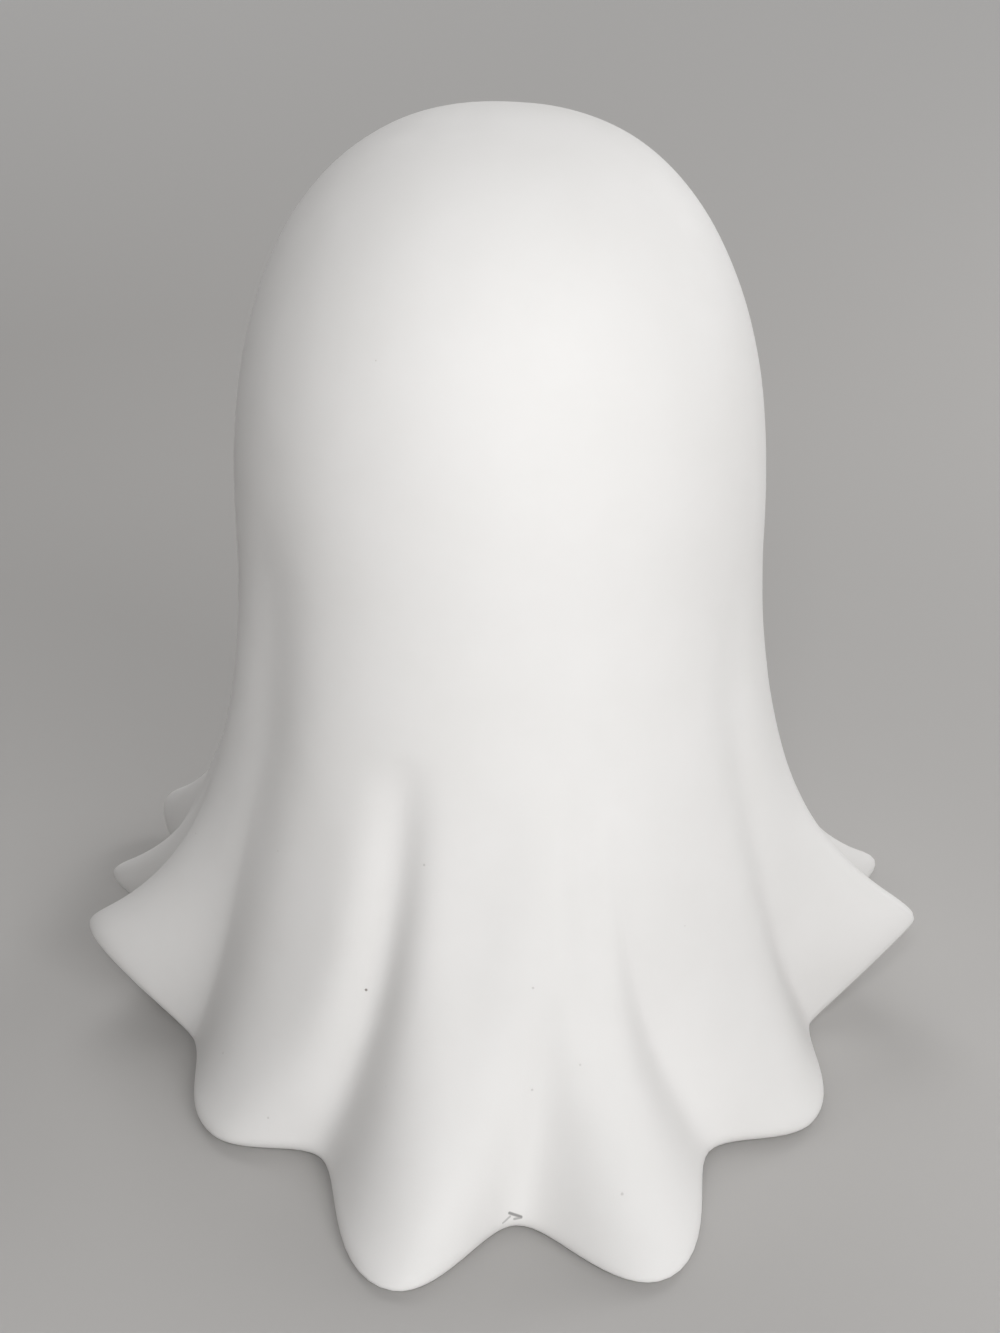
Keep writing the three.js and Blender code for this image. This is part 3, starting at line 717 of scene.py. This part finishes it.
def strayShade(kit):
    # painted shade in sparse stray pinhole pits all over the sheet
    cells = kit.add("TexVoronoi", {"Vector": kit.place, "Scale": bisque["strayScale"]})
    pick = kit.add("SeparateColor", {0: cells.outputs["Color"]}).outputs[0]
    chosen = kit.reckon("GREATER_THAN", pick, bisque["strayShare"])
    near = kit.span(cells.outputs["Distance"], 0, bisque["strayRadius"], bisque["strayPitShade"], 0)
    return kit.reckon("MULTIPLY", near, chosen)


def bisqueKit():
    kit = newMaterial("bisque")
    mottle = kit.span(kit.noise(*bisque["mottle"]), *bisque["mottleSpan"])
    kit.finish({
        "Base Color": kit.mix(mottle, bisque["light"], bisque["shade"]),
        "Roughness": kit.span(kit.noise(*bisque["sponged"]), *bisque["spongedSpan"], *bisque["roughness"]),
        "Specular IOR Level": bisque["specular"],
        "Normal": kit.bump(kit.noise(*bisque["grain"]), *bisque["grainDepth"]),
    })
    return kit


def addMarks(kit, sheet):
    mesh = sheet.data
    tree = BVHTree.FromPolygons([point.co for point in mesh.vertices],
                                [face.vertices for face in mesh.polygons])
    ground, grain = (kit.shader.inputs[name].links[0].from_socket for name in ("Base Color", "Normal"))
    # the darkening at the pinholes is painted shade in their pits; the scuffs' darker colour is the mark's
    # own
    pitShade = kit.reckon("MAXIMUM", shadeOf(kit, tree, pinholes), strayShade(kit))
    rub = shadeOf(kit, tree, (dab for scuff in scuffs for dab in dabs(scuff)))
    whole = kit.reckon("SUBTRACT", 1, pitShade)
    kit.finish({
        "Base Color": kit.mix(pitShade, kit.mix(rub, ground, bisque["scuff"]), bisque["pinholeShade"]),
        "Normal": kit.bump(whole, *bisque["pinholeDepth"], Normal=grain),
    })


ghostKit = bisqueKit()
made["bisque"] = ghostKit.owner
ghostSheet = buildGhost()
addMarks(ghostKit, ghostSheet)
print("ghost sheet built:", len(ghostSheet.data.vertices), "points")


# Felt pads under the folds that reach the table

pad = {"count": 7, "edge": 0.28, "fray": 0.14, "frayScale": 0.9, "frayLean": 0.6, "frayPower": 6,
       "steps": 96, "sharp": 60, "apart": 9}
felt = {
    "fibre": (1800, 6, 0.75, 2.5), "fibres": ((0.60, 0.57, 0.52), (0.86, 0.83, 0.77)),
    "cloud": (260, 3), "cloudSpan": (0.3, 0.7, 0, 0.35), "cloudTone": (0.70, 0.66, 0.60),
    "nap": (0.5, 0.0003), "roughness": 0.97, "sheen": 0.4,
}


def buildPads():
    for number in range(1, pad["count"] + 1):
        node = f"felt_pad_{number}"
        low, high = (np.array(corner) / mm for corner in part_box(node))
        centre, radius = (low + high) / 2, (high - low)[0] / 2
        profile = softened(slab(0, radius, low[2], high[2]), pad["edge"])
        points, faces = turnedMesh(profile, pad["steps"])
        frayed = []
        for x, y, z in points:
            rim = hypot(x, y) / radius
            spot = Vector((x, y, z + pad["apart"] * number)) * pad["frayScale"]
            torn = noise.noise(spot) - pad["frayLean"]
            grow = 1 + pad["fray"] * rim ** pad["frayPower"] * torn / radius
            frayed.append((centre[0] + x * grow, centre[1] + y * grow, z))
        solidPiece(node + "_felt", (frayed, faces), "felt", node, sharp=pad["sharp"])


def feltMaterial():
    kit = newMaterial("felt")
    fibre = kit.noise(*felt["fibre"])
    cloud = kit.span(kit.noise(*felt["cloud"]), *felt["cloudSpan"])
    return kit.finish({
        "Base Color": kit.mix(cloud, kit.mix(fibre, *felt["fibres"]), felt["cloudTone"]),
        "Roughness": felt["roughness"],
        "Sheen Weight": felt["sheen"],
        "Normal": kit.bump(fibre, *felt["nap"]),
    })


# Finishes of the lamp. A plastic has a colour, a darker one, a roughness, the scale and the depth of
# its grain, and what else its shader needs.

plastics = {
    "rubber": ((0.052, 0.052, 0.054), (0.034, 0.034, 0.035), 0.78, 1400, 0.2, {"Specular IOR Level": 0.3}),
    "white_plastic": ((0.80, 0.79, 0.75), (0.76, 0.745, 0.70), 0.42, 1600, 0.1,
                      {"Subsurface Weight": 0.05, "Subsurface Scale": 0.001}),
    "frosted_plastic": ((0.91, 0.87, 0.79), (0.88, 0.83, 0.74), 0.62, 1300, 0.12,
                        {"Transmission Weight": 0.35, "IOR": 1.49}),
    "black_plastic": ((0.030, 0.030, 0.032), (0.022, 0.022, 0.023), 0.45, 1500, 0.12, {}),
    "red_wire": ((0.52, 0.035, 0.028), (0.44, 0.028, 0.022), 0.40, 1500, 0.08, {}),
    "cell_wrap": ((0.045, 0.075, 0.065), (0.035, 0.060, 0.052), 0.26, 800, 0.04, {"Coat Weight": 0.4}),
    "led_resin": ((0.95, 0.72, 0.34), (0.93, 0.66, 0.26), 0.16, 700, 0.03,
                  {"Transmission Weight": 0.7, "IOR": 1.53}),
}
moulding = {"flow": (55, 3), "flowSpan": (0.3, 0.75), "grain": (4, 0.6), "grainSpan": (0.3, 0.7),
            "worn": (-0.07, 0.09), "grainSize": 0.0001}
# A metal has a colour, a roughness, and how much its strokes are pressed together each way.
metals = {
    "nickel": ((0.70, 0.69, 0.66), 0.26, (1, 5, 1)),
    "steel": ((0.56, 0.57, 0.58), 0.34, (1, 1, 6)),
}
brushing = {"strokes": (700, 5, 0.7), "dull": (120, 3), "dullSpan": (0.35, 0.75), "darker": 0.86,
            "span": (0.3, 0.7), "worn": (-0.08, 0.12), "depth": (0.06, 0.0001)}
board = {
    "track": 0.16, "length": 5.2, "pitch": 1.27, "squash": 2.2, "squashEvery": 3, "blur": 0.2,  # mm
    "mottle": (300, 3), "mask": ((0.035, 0.17, 0.075), (0.06, 0.24, 0.11)), "copper": (0.09, 0.33, 0.13),
    "glossSpan": (0.3, 0.7, 0.28, 0.42), "relief": (0.35, 0.00005),
}


def mouldedMaterial(name):
    kit = newMaterial(name)
    colour, darker, roughness, scale, depth, also = plastics[name]
    flow = kit.span(kit.noise(*moulding["flow"]), *moulding["flowSpan"])
    grain = kit.noise(scale, *moulding["grain"])
    worn = [roughness + change for change in moulding["worn"]]
    return kit.finish({
        "Base Color": kit.mix(flow, colour, darker),
        "Roughness": kit.span(grain, *moulding["grainSpan"], *worn),
        "Normal": kit.bump(grain, depth, moulding["grainSize"]),
        **also,
    })


def metalMaterial(name):
    kit = newMaterial(name)
    colour, roughness, stretch = metals[name]
    darker = tuple(brushing["darker"] * part for part in colour)
    drawn = kit.add("Mapping", {"Vector": kit.place, "Scale": stretch}).outputs["Vector"]
    strokes = kit.noise(*brushing["strokes"], vector=drawn)
    dull = kit.span(kit.noise(*brushing["dull"]), *brushing["dullSpan"])
    worn = [roughness + change for change in brushing["worn"]]
    return kit.finish({
        "Base Color": kit.mix(dull, colour, darker),
        "Metallic": 1,
        "Roughness": kit.span(strokes, *brushing["span"], *worn),
        "Normal": kit.bump(strokes, *brushing["depth"]),
    })


def boardMaterial():
    kit = newMaterial("board")
    copper = kit.add("TexBrick", {
        "Vector": kit.place, "Scale": 1 / mm, "Mortar Size": board["track"], "Mortar Smooth": board["blur"],
        "Brick Width": board["length"], "Row Height": board["pitch"],
    }, squash=board["squash"], squash_frequency=board["squashEvery"]).outputs["Fac"]
    mottle = kit.noise(*board["mottle"])
    return kit.finish({
        "Base Color": kit.mix(copper, kit.mix(mottle, *board["mask"]), board["copper"]),
        "Roughness": kit.span(mottle, *board["glossSpan"]),
        "Normal": kit.bump(copper, *board["relief"]),
    })


made.update({name: mouldedMaterial(name) for name in plastics})
made.update({name: metalMaterial(name) for name in metals})
made.update(board=boardMaterial(), felt=feltMaterial())


# The lamp that the ceramic floor holds, in mm. Levels are above the table. A round is the radius
# of a block's corners and the one of its edges.

at = {
    "doorRidge": 4.9, "railBottom": 4.2, "railLip": 5.2, "doorBottom": 5.5, "doorTop": 7,
    "plateBottom": 7.3, "plateTop": 9.2, "lipBottom": 9.5, "lipTop": 11, "cell": 12.55,
    "holeBottom": 14.6, "grommetBead": 16.6, "roofBottom": 18.1, "roofTop": 19.5,
    "boardBottom": 19.8, "boardTop": 21.4, "onBoard": 21.7, "rimBottom": 23.5, "rimTop": 24.7,
    "coverBottom": 25, "coverTop": 26.6,
}
box = {
    "radius": 32.96, "wall": 2, "flange": 39.26, "bay": (24.95, 16.45), "bayWall": 1.5,
    "boss": 3, "bosses": [(15.69, 21.85), (-15.69, 21.85), (-15.69, -21.85), (15.69, -21.85)],
    "rail": (27.2, 1.5, 35.3), "railLip": (26.45, 3), "screwHole": 1.4, "contact": (24.4, 10.9),
    "tabSlot": (1.1, 3.6), "switch": (24.05, 6.6, 2.6), "coverHole": 20.3, "coverEdge": 0.35,
    "flangeEdge": 0.5, "innerEdge": 0.4, "bossEdge": 0.2, "holeEdge": 0.1, "bayCorner": 1,
    "chamberCorner": 0.8, "tabRound": (0.2, 0.1),
    "bossSteps": 40, "holeSteps": 32, "bevel": 0.22, "bevelFrom": 50,
}
grommet = {"inner": 33.26, "outer": 35.26, "bead": 1.6, "edge": 0.35}
fine = 128  # steps round the widest turned parts
sink = 0.5  # how far a joined form reaches into the one it stands on
past = 1  # how far a cutting form reaches past what it cuts


def joined(*shapes):
    return [("UNION", shape) for shape in shapes]


def cut(*shapes):
    return [("DIFFERENCE", shape) for shape in shapes]


def disc(radius, low, high, edge=0.3, centre=(0, 0), steps=fine):
    profile = softened(slab(0, radius, low, high), edge)
    return moved(turnedMesh(profile, steps), *centre)


def softenEdges(piece):
    bevel = piece.modifiers.new("edges", "BEVEL")
    bevel.width = box["bevel"] * mm
    bevel.segments = 2
    bevel.limit_method = "ANGLE"
    bevel.angle_limit = radians(box["bevelFrom"])
    bevel.harden_normals = True


def buildGrommet():
    inner, outer, bead = grommet["inner"], grommet["outer"], grommet["bead"]
    flange, level = box["flange"], at["grommetBead"]
    profile = softened([
        (inner, at["lipBottom"]), (flange, at["lipBottom"]), (flange, at["lipTop"]), (outer, at["lipTop"]),
        (outer, level), (outer + bead, level), (outer + bead / 2, level + bead), (inner, level + bead),
    ], grommet["edge"], closed=True)
    solidPiece("grommet_ring", turnedMesh(profile, fine, closed=True), "rubber", "rubber_grommet",
               sharp=gentle)


def screwHoles(low, high):
    return [disc(box["screwHole"], low, high, box["holeEdge"], place, box["holeSteps"])
            for place in box["bosses"]]


def buildBox():
    low, plateTop, high = at["plateBottom"], at["plateTop"], at["rimTop"]
    radius, bosses, tab = box["radius"], box["bosses"], np.array(box["contact"])
    bayX, bayY = box["bay"]
    wall = box["bayWall"]
    railX, railWidth, railLength = box["rail"]
    lipX, lipWidth = box["railLip"]
    slotY, slotX, slotWidth = box["switch"]
    steps = joined(
        disc(box["flange"], low, plateTop, box["flangeEdge"]),
        disc(radius, low + sink, high),
    ) + cut(
        disc(radius - box["wall"], plateTop, high + past, box["innerEdge"]),
    ) + joined(
        blockMesh((0, 0), (2 * (bayX + wall), 2 * (bayY + wall)), low + sink, at["roofTop"],
                  box["bayCorner"]),
        *[disc(box["boss"], low + sink, high, box["bossEdge"], place, box["bossSteps"])
          for place in bosses],
    )
    for side in (-1, 1):
        steps += joined(
            blockMesh((side * railX, 0), (railWidth, railLength), at["railBottom"], plateTop),
            blockMesh((side * lipX, 0), (lipWidth, railLength), at["railBottom"], at["railLip"]),
        )
    steps += cut(
        blockMesh((0, 0), (2 * bayX, 2 * bayY), at["doorTop"], at["roofBottom"], box["chamberCorner"]),
        blockMesh((0, slotY), (slotX, slotWidth), low - past, plateTop + past),
        *screwHoles(at["holeBottom"], high + past),
        *[blockMesh(side * tab, box["tabSlot"], at["roofBottom"] - past, at["roofTop"] + past,
                    *box["tabRound"]) for side in (-1, 1)],
    )
    softenEdges(carved("lamp_housing", steps, "white_plastic", "battery_box"))


def buildCover():
    low, high = at["coverBottom"], at["coverTop"]
    ring = slab(box["coverHole"], box["radius"], low, high)
    ring = turnedMesh(softened(ring, box["coverEdge"], closed=True), fine, closed=True)
    steps = joined(ring) + cut(*screwHoles(low - past, high + past))
    softenEdges(carved("lamp_lid", steps, "white_plastic", "lamp_cover"))


door = {"size": (52.3, 35.3), "corner": 1.2, "edge": 0.3, "ridges": (15.25, 12.85, 10.45, 8.05),
        "ridge": (20, 1.2), "ridgeCorner": 0.5}
knob = {"rest": -1.5, "y": 24.05, "cap": (6, 5), "capLevels": (5.2, 7), "stem": (3, 2),
        "stemTop": 11.4, "grips": (-1.6, -0.8, 0, 0.8, 1.6), "grip": (0.35, 3.6), "gripDepth": 0.15,
        "capRound": (0.6, 0.3), "stemRound": (0.3, 0.1), "gripRound": (0.1, 0.05)}
switch = {"size": (8.6, 4.4), "levels": (9.5, 14.5), "round": (0.4, 0.2), "slotTop": 11.7,
          "slotRound": (0.2, 0.1)}


def buildDoor():
    steps = joined(
        blockMesh((0, 0), door["size"], at["doorBottom"], at["doorTop"], door["corner"], door["edge"]),
        *[blockMesh((0, y), door["ridge"], at["doorRidge"], at["doorBottom"] + sink, door["ridgeCorner"])
          for y in door["ridges"]],
    )
    softenEdges(carved("bay_door", steps, "white_plastic", "battery_door", "battery_door"))


def buildSwitch():
    x, y = knob["rest"], knob["y"]
    low, high = knob["capLevels"]
    steps = joined(
        blockMesh((x, y), knob["cap"], low, high, *knob["capRound"]),
        blockMesh((x, y), knob["stem"], low + sink, knob["stemTop"], *knob["stemRound"]),
    ) + cut(*[blockMesh((x + offset, y), knob["grip"], low - past, low + knob["gripDepth"],
                        *knob["gripRound"]) for offset in knob["grips"]])
    carved("switch_slider", steps, "black_plastic", "switch_knob", "switch_knob")

    low, high = switch["levels"]
    slotY, slotX, slotWidth = box["switch"]
    steps = joined(blockMesh((0, y), switch["size"], low, high, *switch["round"])) + cut(
        blockMesh((0, slotY), (slotX, slotWidth), low - past, switch["slotTop"], *switch["slotRound"]))
    carved("switch_case", steps, "black_plastic", "switch_body")


screw = {"head": 2.4, "headHeight": 1.4, "headPath": ((1, 0.6), (0.85, 1.15), (0.5, 1.37)), "shank": 1.1,
         "tip": 0.35, "length": 12, "pitch": 0.8, "thread": 0.28, "crestAt": 0.4, "cross": (2.6, 0.6),
         "crossDepth": 0.8, "crossRound": (0.1, 0.05), "under": 26.9, "edge": 0.12, "steps": 40}
dome = {"radius": 20, "wall": 1.4, "rim": 23, "straight": 3, "rise": 15, "edge": 0.3,
        "curveSteps": 28, "steps": 96}
ledForm = {"radius": 2.5, "rim": 2.9, "rimHeight": 1, "height": 8.6, "edge": 0.12, "curveSteps": 14,
           "steps": 40}
boardForm = {"radius": 16, "edge": 0.12}
chip = {"centre": (-5, -8.5), "size": (5, 4), "height": 1.5, "legs": (-1.9, -0.63, 0.63, 1.9),
        "leg": (0.4, 0.7), "legOut": 0.3, "legLevels": (-0.28, 0.5),
        "round": (0.15, 0.12), "legRound": (0.1, 0.05)}


def buildScrews():
    under, pitch, head, shank = (screw[key] for key in ("under", "pitch", "head", "shank"))
    end, top = under - screw["length"], under + screw["headHeight"]
    profile = [(0, end), (screw["tip"], end)]
    level = end + pitch
    while level < under - pitch:
        profile += [(shank - screw["thread"], level), (shank, level + screw["crestAt"] * pitch)]
        level += pitch
    profile += [(shank, under), (head, under)]
    profile += [(head * share, under + rise) for share, rise in screw["headPath"]] + [(0, top)]
    body = turnedMesh(softened(profile, screw["edge"], 2), screw["steps"])
    cross = screw["cross"]
    for number, (x, y) in enumerate(box["bosses"], 1):
        steps = joined(moved(body, x, y)) + cut(
            *[blockMesh((x, y), size, top - screw["crossDepth"], top + past, *screw["crossRound"])
              for size in (cross, cross[::-1])])
        carved(f"pan_screw_{number}", steps, "steel", f"cover_screw_{number}")


def buildDome():
    radius, wall, rise, rim = (dome[key] for key in ("radius", "wall", "rise", "rim"))
    low, high = at["rimBottom"], at["rimTop"]
    straight = high + dome["straight"]
    outer, inner = ([((radius - depth) * x, straight + (rise - depth) * y)
                     for x, y in quarter(dome["curveSteps"])] for depth in (0, wall))
    foot = softened([inner[0], (radius - wall, low), (rim, low), (rim, high), (radius, high), outer[0]],
                    dome["edge"])
    skin = turnedMesh([*inner[::-1], *foot[1:-1], *outer], dome["steps"])
    solidPiece("lamp_dome", skin, "frosted_plastic", "diffuser_dome", sharp=gentle)


def buildLed():
    low, radius, rim = at["onBoard"], ledForm["radius"], ledForm["rim"]
    step = low + ledForm["rimHeight"]
    shoulder = low + ledForm["height"] - radius
    arc = [(radius * x, shoulder + radius * y) for x, y in quarter(ledForm["curveSteps"])]
    profile = softened([(0, low), (rim, low), (rim, step), (radius, step), arc[0]], ledForm["edge"], 2)
    bulb = turnedMesh([*profile[:-1], *arc], ledForm["steps"])
    solidPiece("led_lamp", bulb, "led_resin", "led", sharp=gentle)


def buildBoard():
    low = at["onBoard"]
    sheet = disc(boardForm["radius"], at["boardBottom"], at["boardTop"], boardForm["edge"])
    solidPiece("lamp_board", sheet, "board", "circuit_board")
    case = blockMesh(chip["centre"], chip["size"], low, low + chip["height"], *chip["round"])
    solidPiece("chip_case", case, "black_plastic", "timer_chip")
    x, y = chip["centre"]
    out = chip["size"][1] / 2 + chip["legOut"]
    foot, knee = (low + level for level in chip["legLevels"])
    legs = [blockMesh((x + offset, y + side * out), chip["leg"], foot, knee, *chip["legRound"])
            for offset in chip["legs"] for side in (-1, 1)]
    solidPiece("chip_legs", merged(*legs), "nickel")


cell = {"radius": 5.25, "length": 44.5, "nub": 2.75, "nubHeight": 1, "bevelIn": 0.7, "bevelUp": 0.5,
        "edge": 0.25, "wrapEdge": 0.75, "pitch": 10.9, "steps": 64}
contact = {"x": 24.4, "thickness": 0.5, "size": 9.3, "tab": 3, "tabTop": 20.5, "corner": 0.12, "edge": 0.1}
spring = {"length": 3.2, "radius": 3.4, "tip": 2, "wire": 0.35, "sides": 10, "turns": 3,
          "stepsPerTurn": 24}
lead = {"radius": 0.6, "sides": 16, "spacing": 4.4, "reach": 13, "switchTop": 14.8, "tabTop": 20.8,
        "bendSteps": 12, "stops": (0.33, 0.66, 1)}


def buildCells():
    level, pitch = at["cell"], cell["pitch"]
    radius, nub, length = cell["radius"], cell["nub"], cell["length"]
    body, flat, up = length - cell["nubHeight"], radius - cell["bevelIn"], cell["bevelUp"]
    case = softened([(0, 0), (flat, 0), (radius, up), (radius, body - up), (flat, body), (nub, body),
                     (nub, length), (0, length)], cell["edge"])
    points, faces = turnedMesh(case, cell["steps"])
    middle = (length - spring["length"]) / 2
    for number, direction in ((1, 1), (2, -1), (3, 1)):
        row = (number - 2) * pitch
        turned = [(direction * (z - middle), direction * y + row, x + level) for x, y, z in points]
        piece = solidPiece(f"cell_{number}", (turned, faces), "cell_wrap", f"battery_{number}")
        piece.data.materials.append(made["nickel"])
        for polygon in piece.data.polygons:
            centre = polygon.center / mm
            out = hypot(centre.y - row, centre.z - level)
            polygon.material_index = int(out < radius - cell["wrapEdge"])


def contactPlate(side, start, end):
    half = contact["size"] / 2
    width = (end - start) * cell["pitch"] + contact["size"]
    return contactStrip(side, (start + end) / 2, width, at["cell"] - half, at["cell"] + half)


def contactTab(side):
    return contactStrip(side, side, contact["tab"], at["cell"], contact["tabTop"])


def contactStrip(side, row, width, low, high):
    return blockMesh((side * contact["x"], row * cell["pitch"]), (contact["thickness"], width), low, high,
                     contact["corner"], contact["edge"])


def contactSpring(side, row):
    sunk = spring["wire"] / 2
    foot = contact["x"] - contact["thickness"] / 2 - sunk
    rise = spring["length"] - spring["wire"] - sunk
    path = []
    for share in np.linspace(0, 1, spring["turns"] * spring["stepsPerTurn"] + 1):
        turn = share * spring["turns"] * 2 * pi
        coil = mixed(spring["radius"], spring["tip"], share)
        path.append((side * (foot - rise * share), row * cell["pitch"] + coil * cos(turn),
                     at["cell"] + coil * sin(turn)))
    return sweptMesh(path, spring["wire"], spring["sides"])


def buildContacts():
    groups = {
        "contact_negative": [contactPlate(-1, -1, -1), contactTab(-1), contactSpring(-1, -1)],
        "contact_positive": [contactPlate(1, 1, 1), contactTab(1)],
        "contact_link_left": [contactPlate(-1, 0, 1), contactSpring(-1, 1)],
        "contact_link_right": [contactPlate(1, -1, 0), contactSpring(1, 0)],
    }
    for node, shapes in groups.items():
        solidPiece(node + "_strip", merged(*shapes), "nickel", node)


def buildLead(node, foot, footLevel, end, finish):
    rest = at["onBoard"] + lead["radius"]
    bend = rest - footLevel
    foot, end = np.array(foot), np.array(end)
    ahead = (end - foot) / np.linalg.norm(end - foot)
    route = [(*(foot + ahead * bend * (1 - x)), footLevel + bend * y)
             for x, y in quarter(lead["bendSteps"])]
    knee = np.array(route[-1][:2])
    route += [(*mixed(knee, end, share), rest) for share in lead["stops"]]
    solidPiece(node + "_wire", sweptMesh(route, lead["radius"], lead["sides"]), finish, node, sharp=gentle)


def buildLeads():
    x, y, reach = lead["spacing"] / 2, knob["y"], lead["reach"]
    tab = np.array(box["contact"])
    end = tab * reach / np.linalg.norm(tab)
    buildLead("switch_lead_left", (-x, y), lead["switchTop"], (-x, reach), "black_plastic")
    buildLead("switch_lead_right", (x, y), lead["switchTop"], (x, reach), "black_plastic")
    buildLead("battery_lead_black", -tab, lead["tabTop"], -end, "black_plastic")
    buildLead("battery_lead_red", tab, lead["tabTop"], end, "red_wire")


buildPads()
print("felt pads built")
buildGrommet()
buildBox()
buildCover()
buildDoor()
buildSwitch()
print("lamp housing built")
buildScrews()
buildDome()
buildLed()
buildBoard()
buildCells()
buildContacts()
buildLeads()
print("lamp innards built")


# Stage, in metres: pale paper that curves up behind the figure, under soft light from the right

stage = {
    "halfWidth": 3, "front": -2.2, "middle": -1, "top": 3,
    "bend": 0.55, "radius": 0.9, "steps": 24,  # where and how the paper rises behind the figure
    "paper": (0.50, 0.49, 0.48), "lighter": 1.02, "mottle": (2.5, 3), "roughness": 0.92, "specular": 0.2,
    "tooth": (900, 4, 0.7), "toothDepth": (0.05, 0.0002),
    "world": (0.62, 0.60, 0.58), "worldStrength": 0.14, "backdrop": (0.41, 0.405, 0.40),
    "fade": (0.85, 1.6),  # how far out the paper turns into the even backdrop
}
lamps = table(
    "name at size power aim",
    ("window", (0.55, -0.95, 0.60), 0.50, 4.3, (0, 0, 0.1)),
    ("room", (0.05, -1.10, 0.55), 0.60, 3.6, (0, 0, 0.1)),
    ("flash", (-0.02, -0.42, 0.34), 0.05, 0.46, (0, 0, 0.08)),
    ("side_fill", (1, 0.25, 0.5), 0.7, 1.8, (0, 0, 0.1)),
    ("face_fill", (0.85, 0.85, 0.7), 0.4, 3, (0, 0, 0.1)),
    ("back_fill", (-0.3, 1, 1.3), 1, 6.4, (0, 0.1, 0.1)),
)


def paperMaterial():
    kit = newMaterial("backdrop_paper")
    lighter = tuple(value * stage["lighter"] for value in stage["paper"])
    kit.finish({
        "Base Color": kit.mix(kit.noise(*stage["mottle"]), stage["paper"], lighter),
        "Normal": kit.bump(kit.noise(*stage["tooth"]), *stage["toothDepth"]),
        "Roughness": stage["roughness"],
        "Specular IOR Level": stage["specular"],
    })
    out = kit.add("VectorMath", {0: kit.place}, operation="LENGTH").outputs["Value"]
    even = kit.add("Emission", {"Color": stage["backdrop"]})
    blendShaders(kit, kit.span(out, *stage["fade"]), kit.shader, even, "Material Output")
    return kit.owner


def blendShaders(kit, share, first, second, end):
    blend = kit.add("MixShader", {0: share, 1: first.outputs[0], 2: second.outputs[0]})
    kit.plug(kit.nodes[end].inputs["Surface"], blend.outputs[0])


def buildPaper():
    bend, radius = stage["bend"], stage["radius"]
    path = [(stage["front"], 0), (stage["middle"], 0), (bend, 0)]
    path += [(bend + radius * y, radius * (1 - x)) for x, y in quarter(stage["steps"])[1:]]
    path.append((bend + radius, stage["top"]))
    half = stage["halfWidth"]
    points = [(x, y, z) for y, z in path for x in (-half, half)]
    faces = [(2 * i, 2 * i + 1, 2 * i + 3, 2 * i + 2) for i in range(len(path) - 1)]
    newObject("paper", np.array(points) / mm, faces, paperMaterial())


def addLamps():
    for lamp in lamps:
        data = bpy.data.lights.new(lamp["name"], "AREA")
        data.size = lamp["size"]
        data.energy = lamp["power"]
        light = placed(lamp["name"], data)
        light.location = lamp["at"]
        aim = Vector(lamp["aim"]) - Vector(lamp["at"])
        light.rotation_euler = aim.to_track_quat("-Z", "Y").to_euler()


def addWorld():
    # A dim room for the light, the even backdrop for what the camera and reflections see
    kit = Wiring(bpy.data.worlds.new("studio"), "Background")
    bpy.context.scene.world = kit.finish({"Color": stage["world"], "Strength": stage["worldStrength"]})
    seen = kit.add("Background", {"Color": stage["backdrop"]})
    rays = kit.add("LightPath", {}).outputs
    clear = kit.reckon("MAXIMUM", rays["Is Camera Ray"], rays["Is Glossy Ray"])
    clear = kit.reckon("MAXIMUM", clear, rays["Is Transmission Ray"])
    blendShaders(kit, clear, kit.shader, seen, "World Output")


buildPaper()
addLamps()
addWorld()
bpy.context.scene.view_settings.view_transform = "Standard"
print("stage lit")
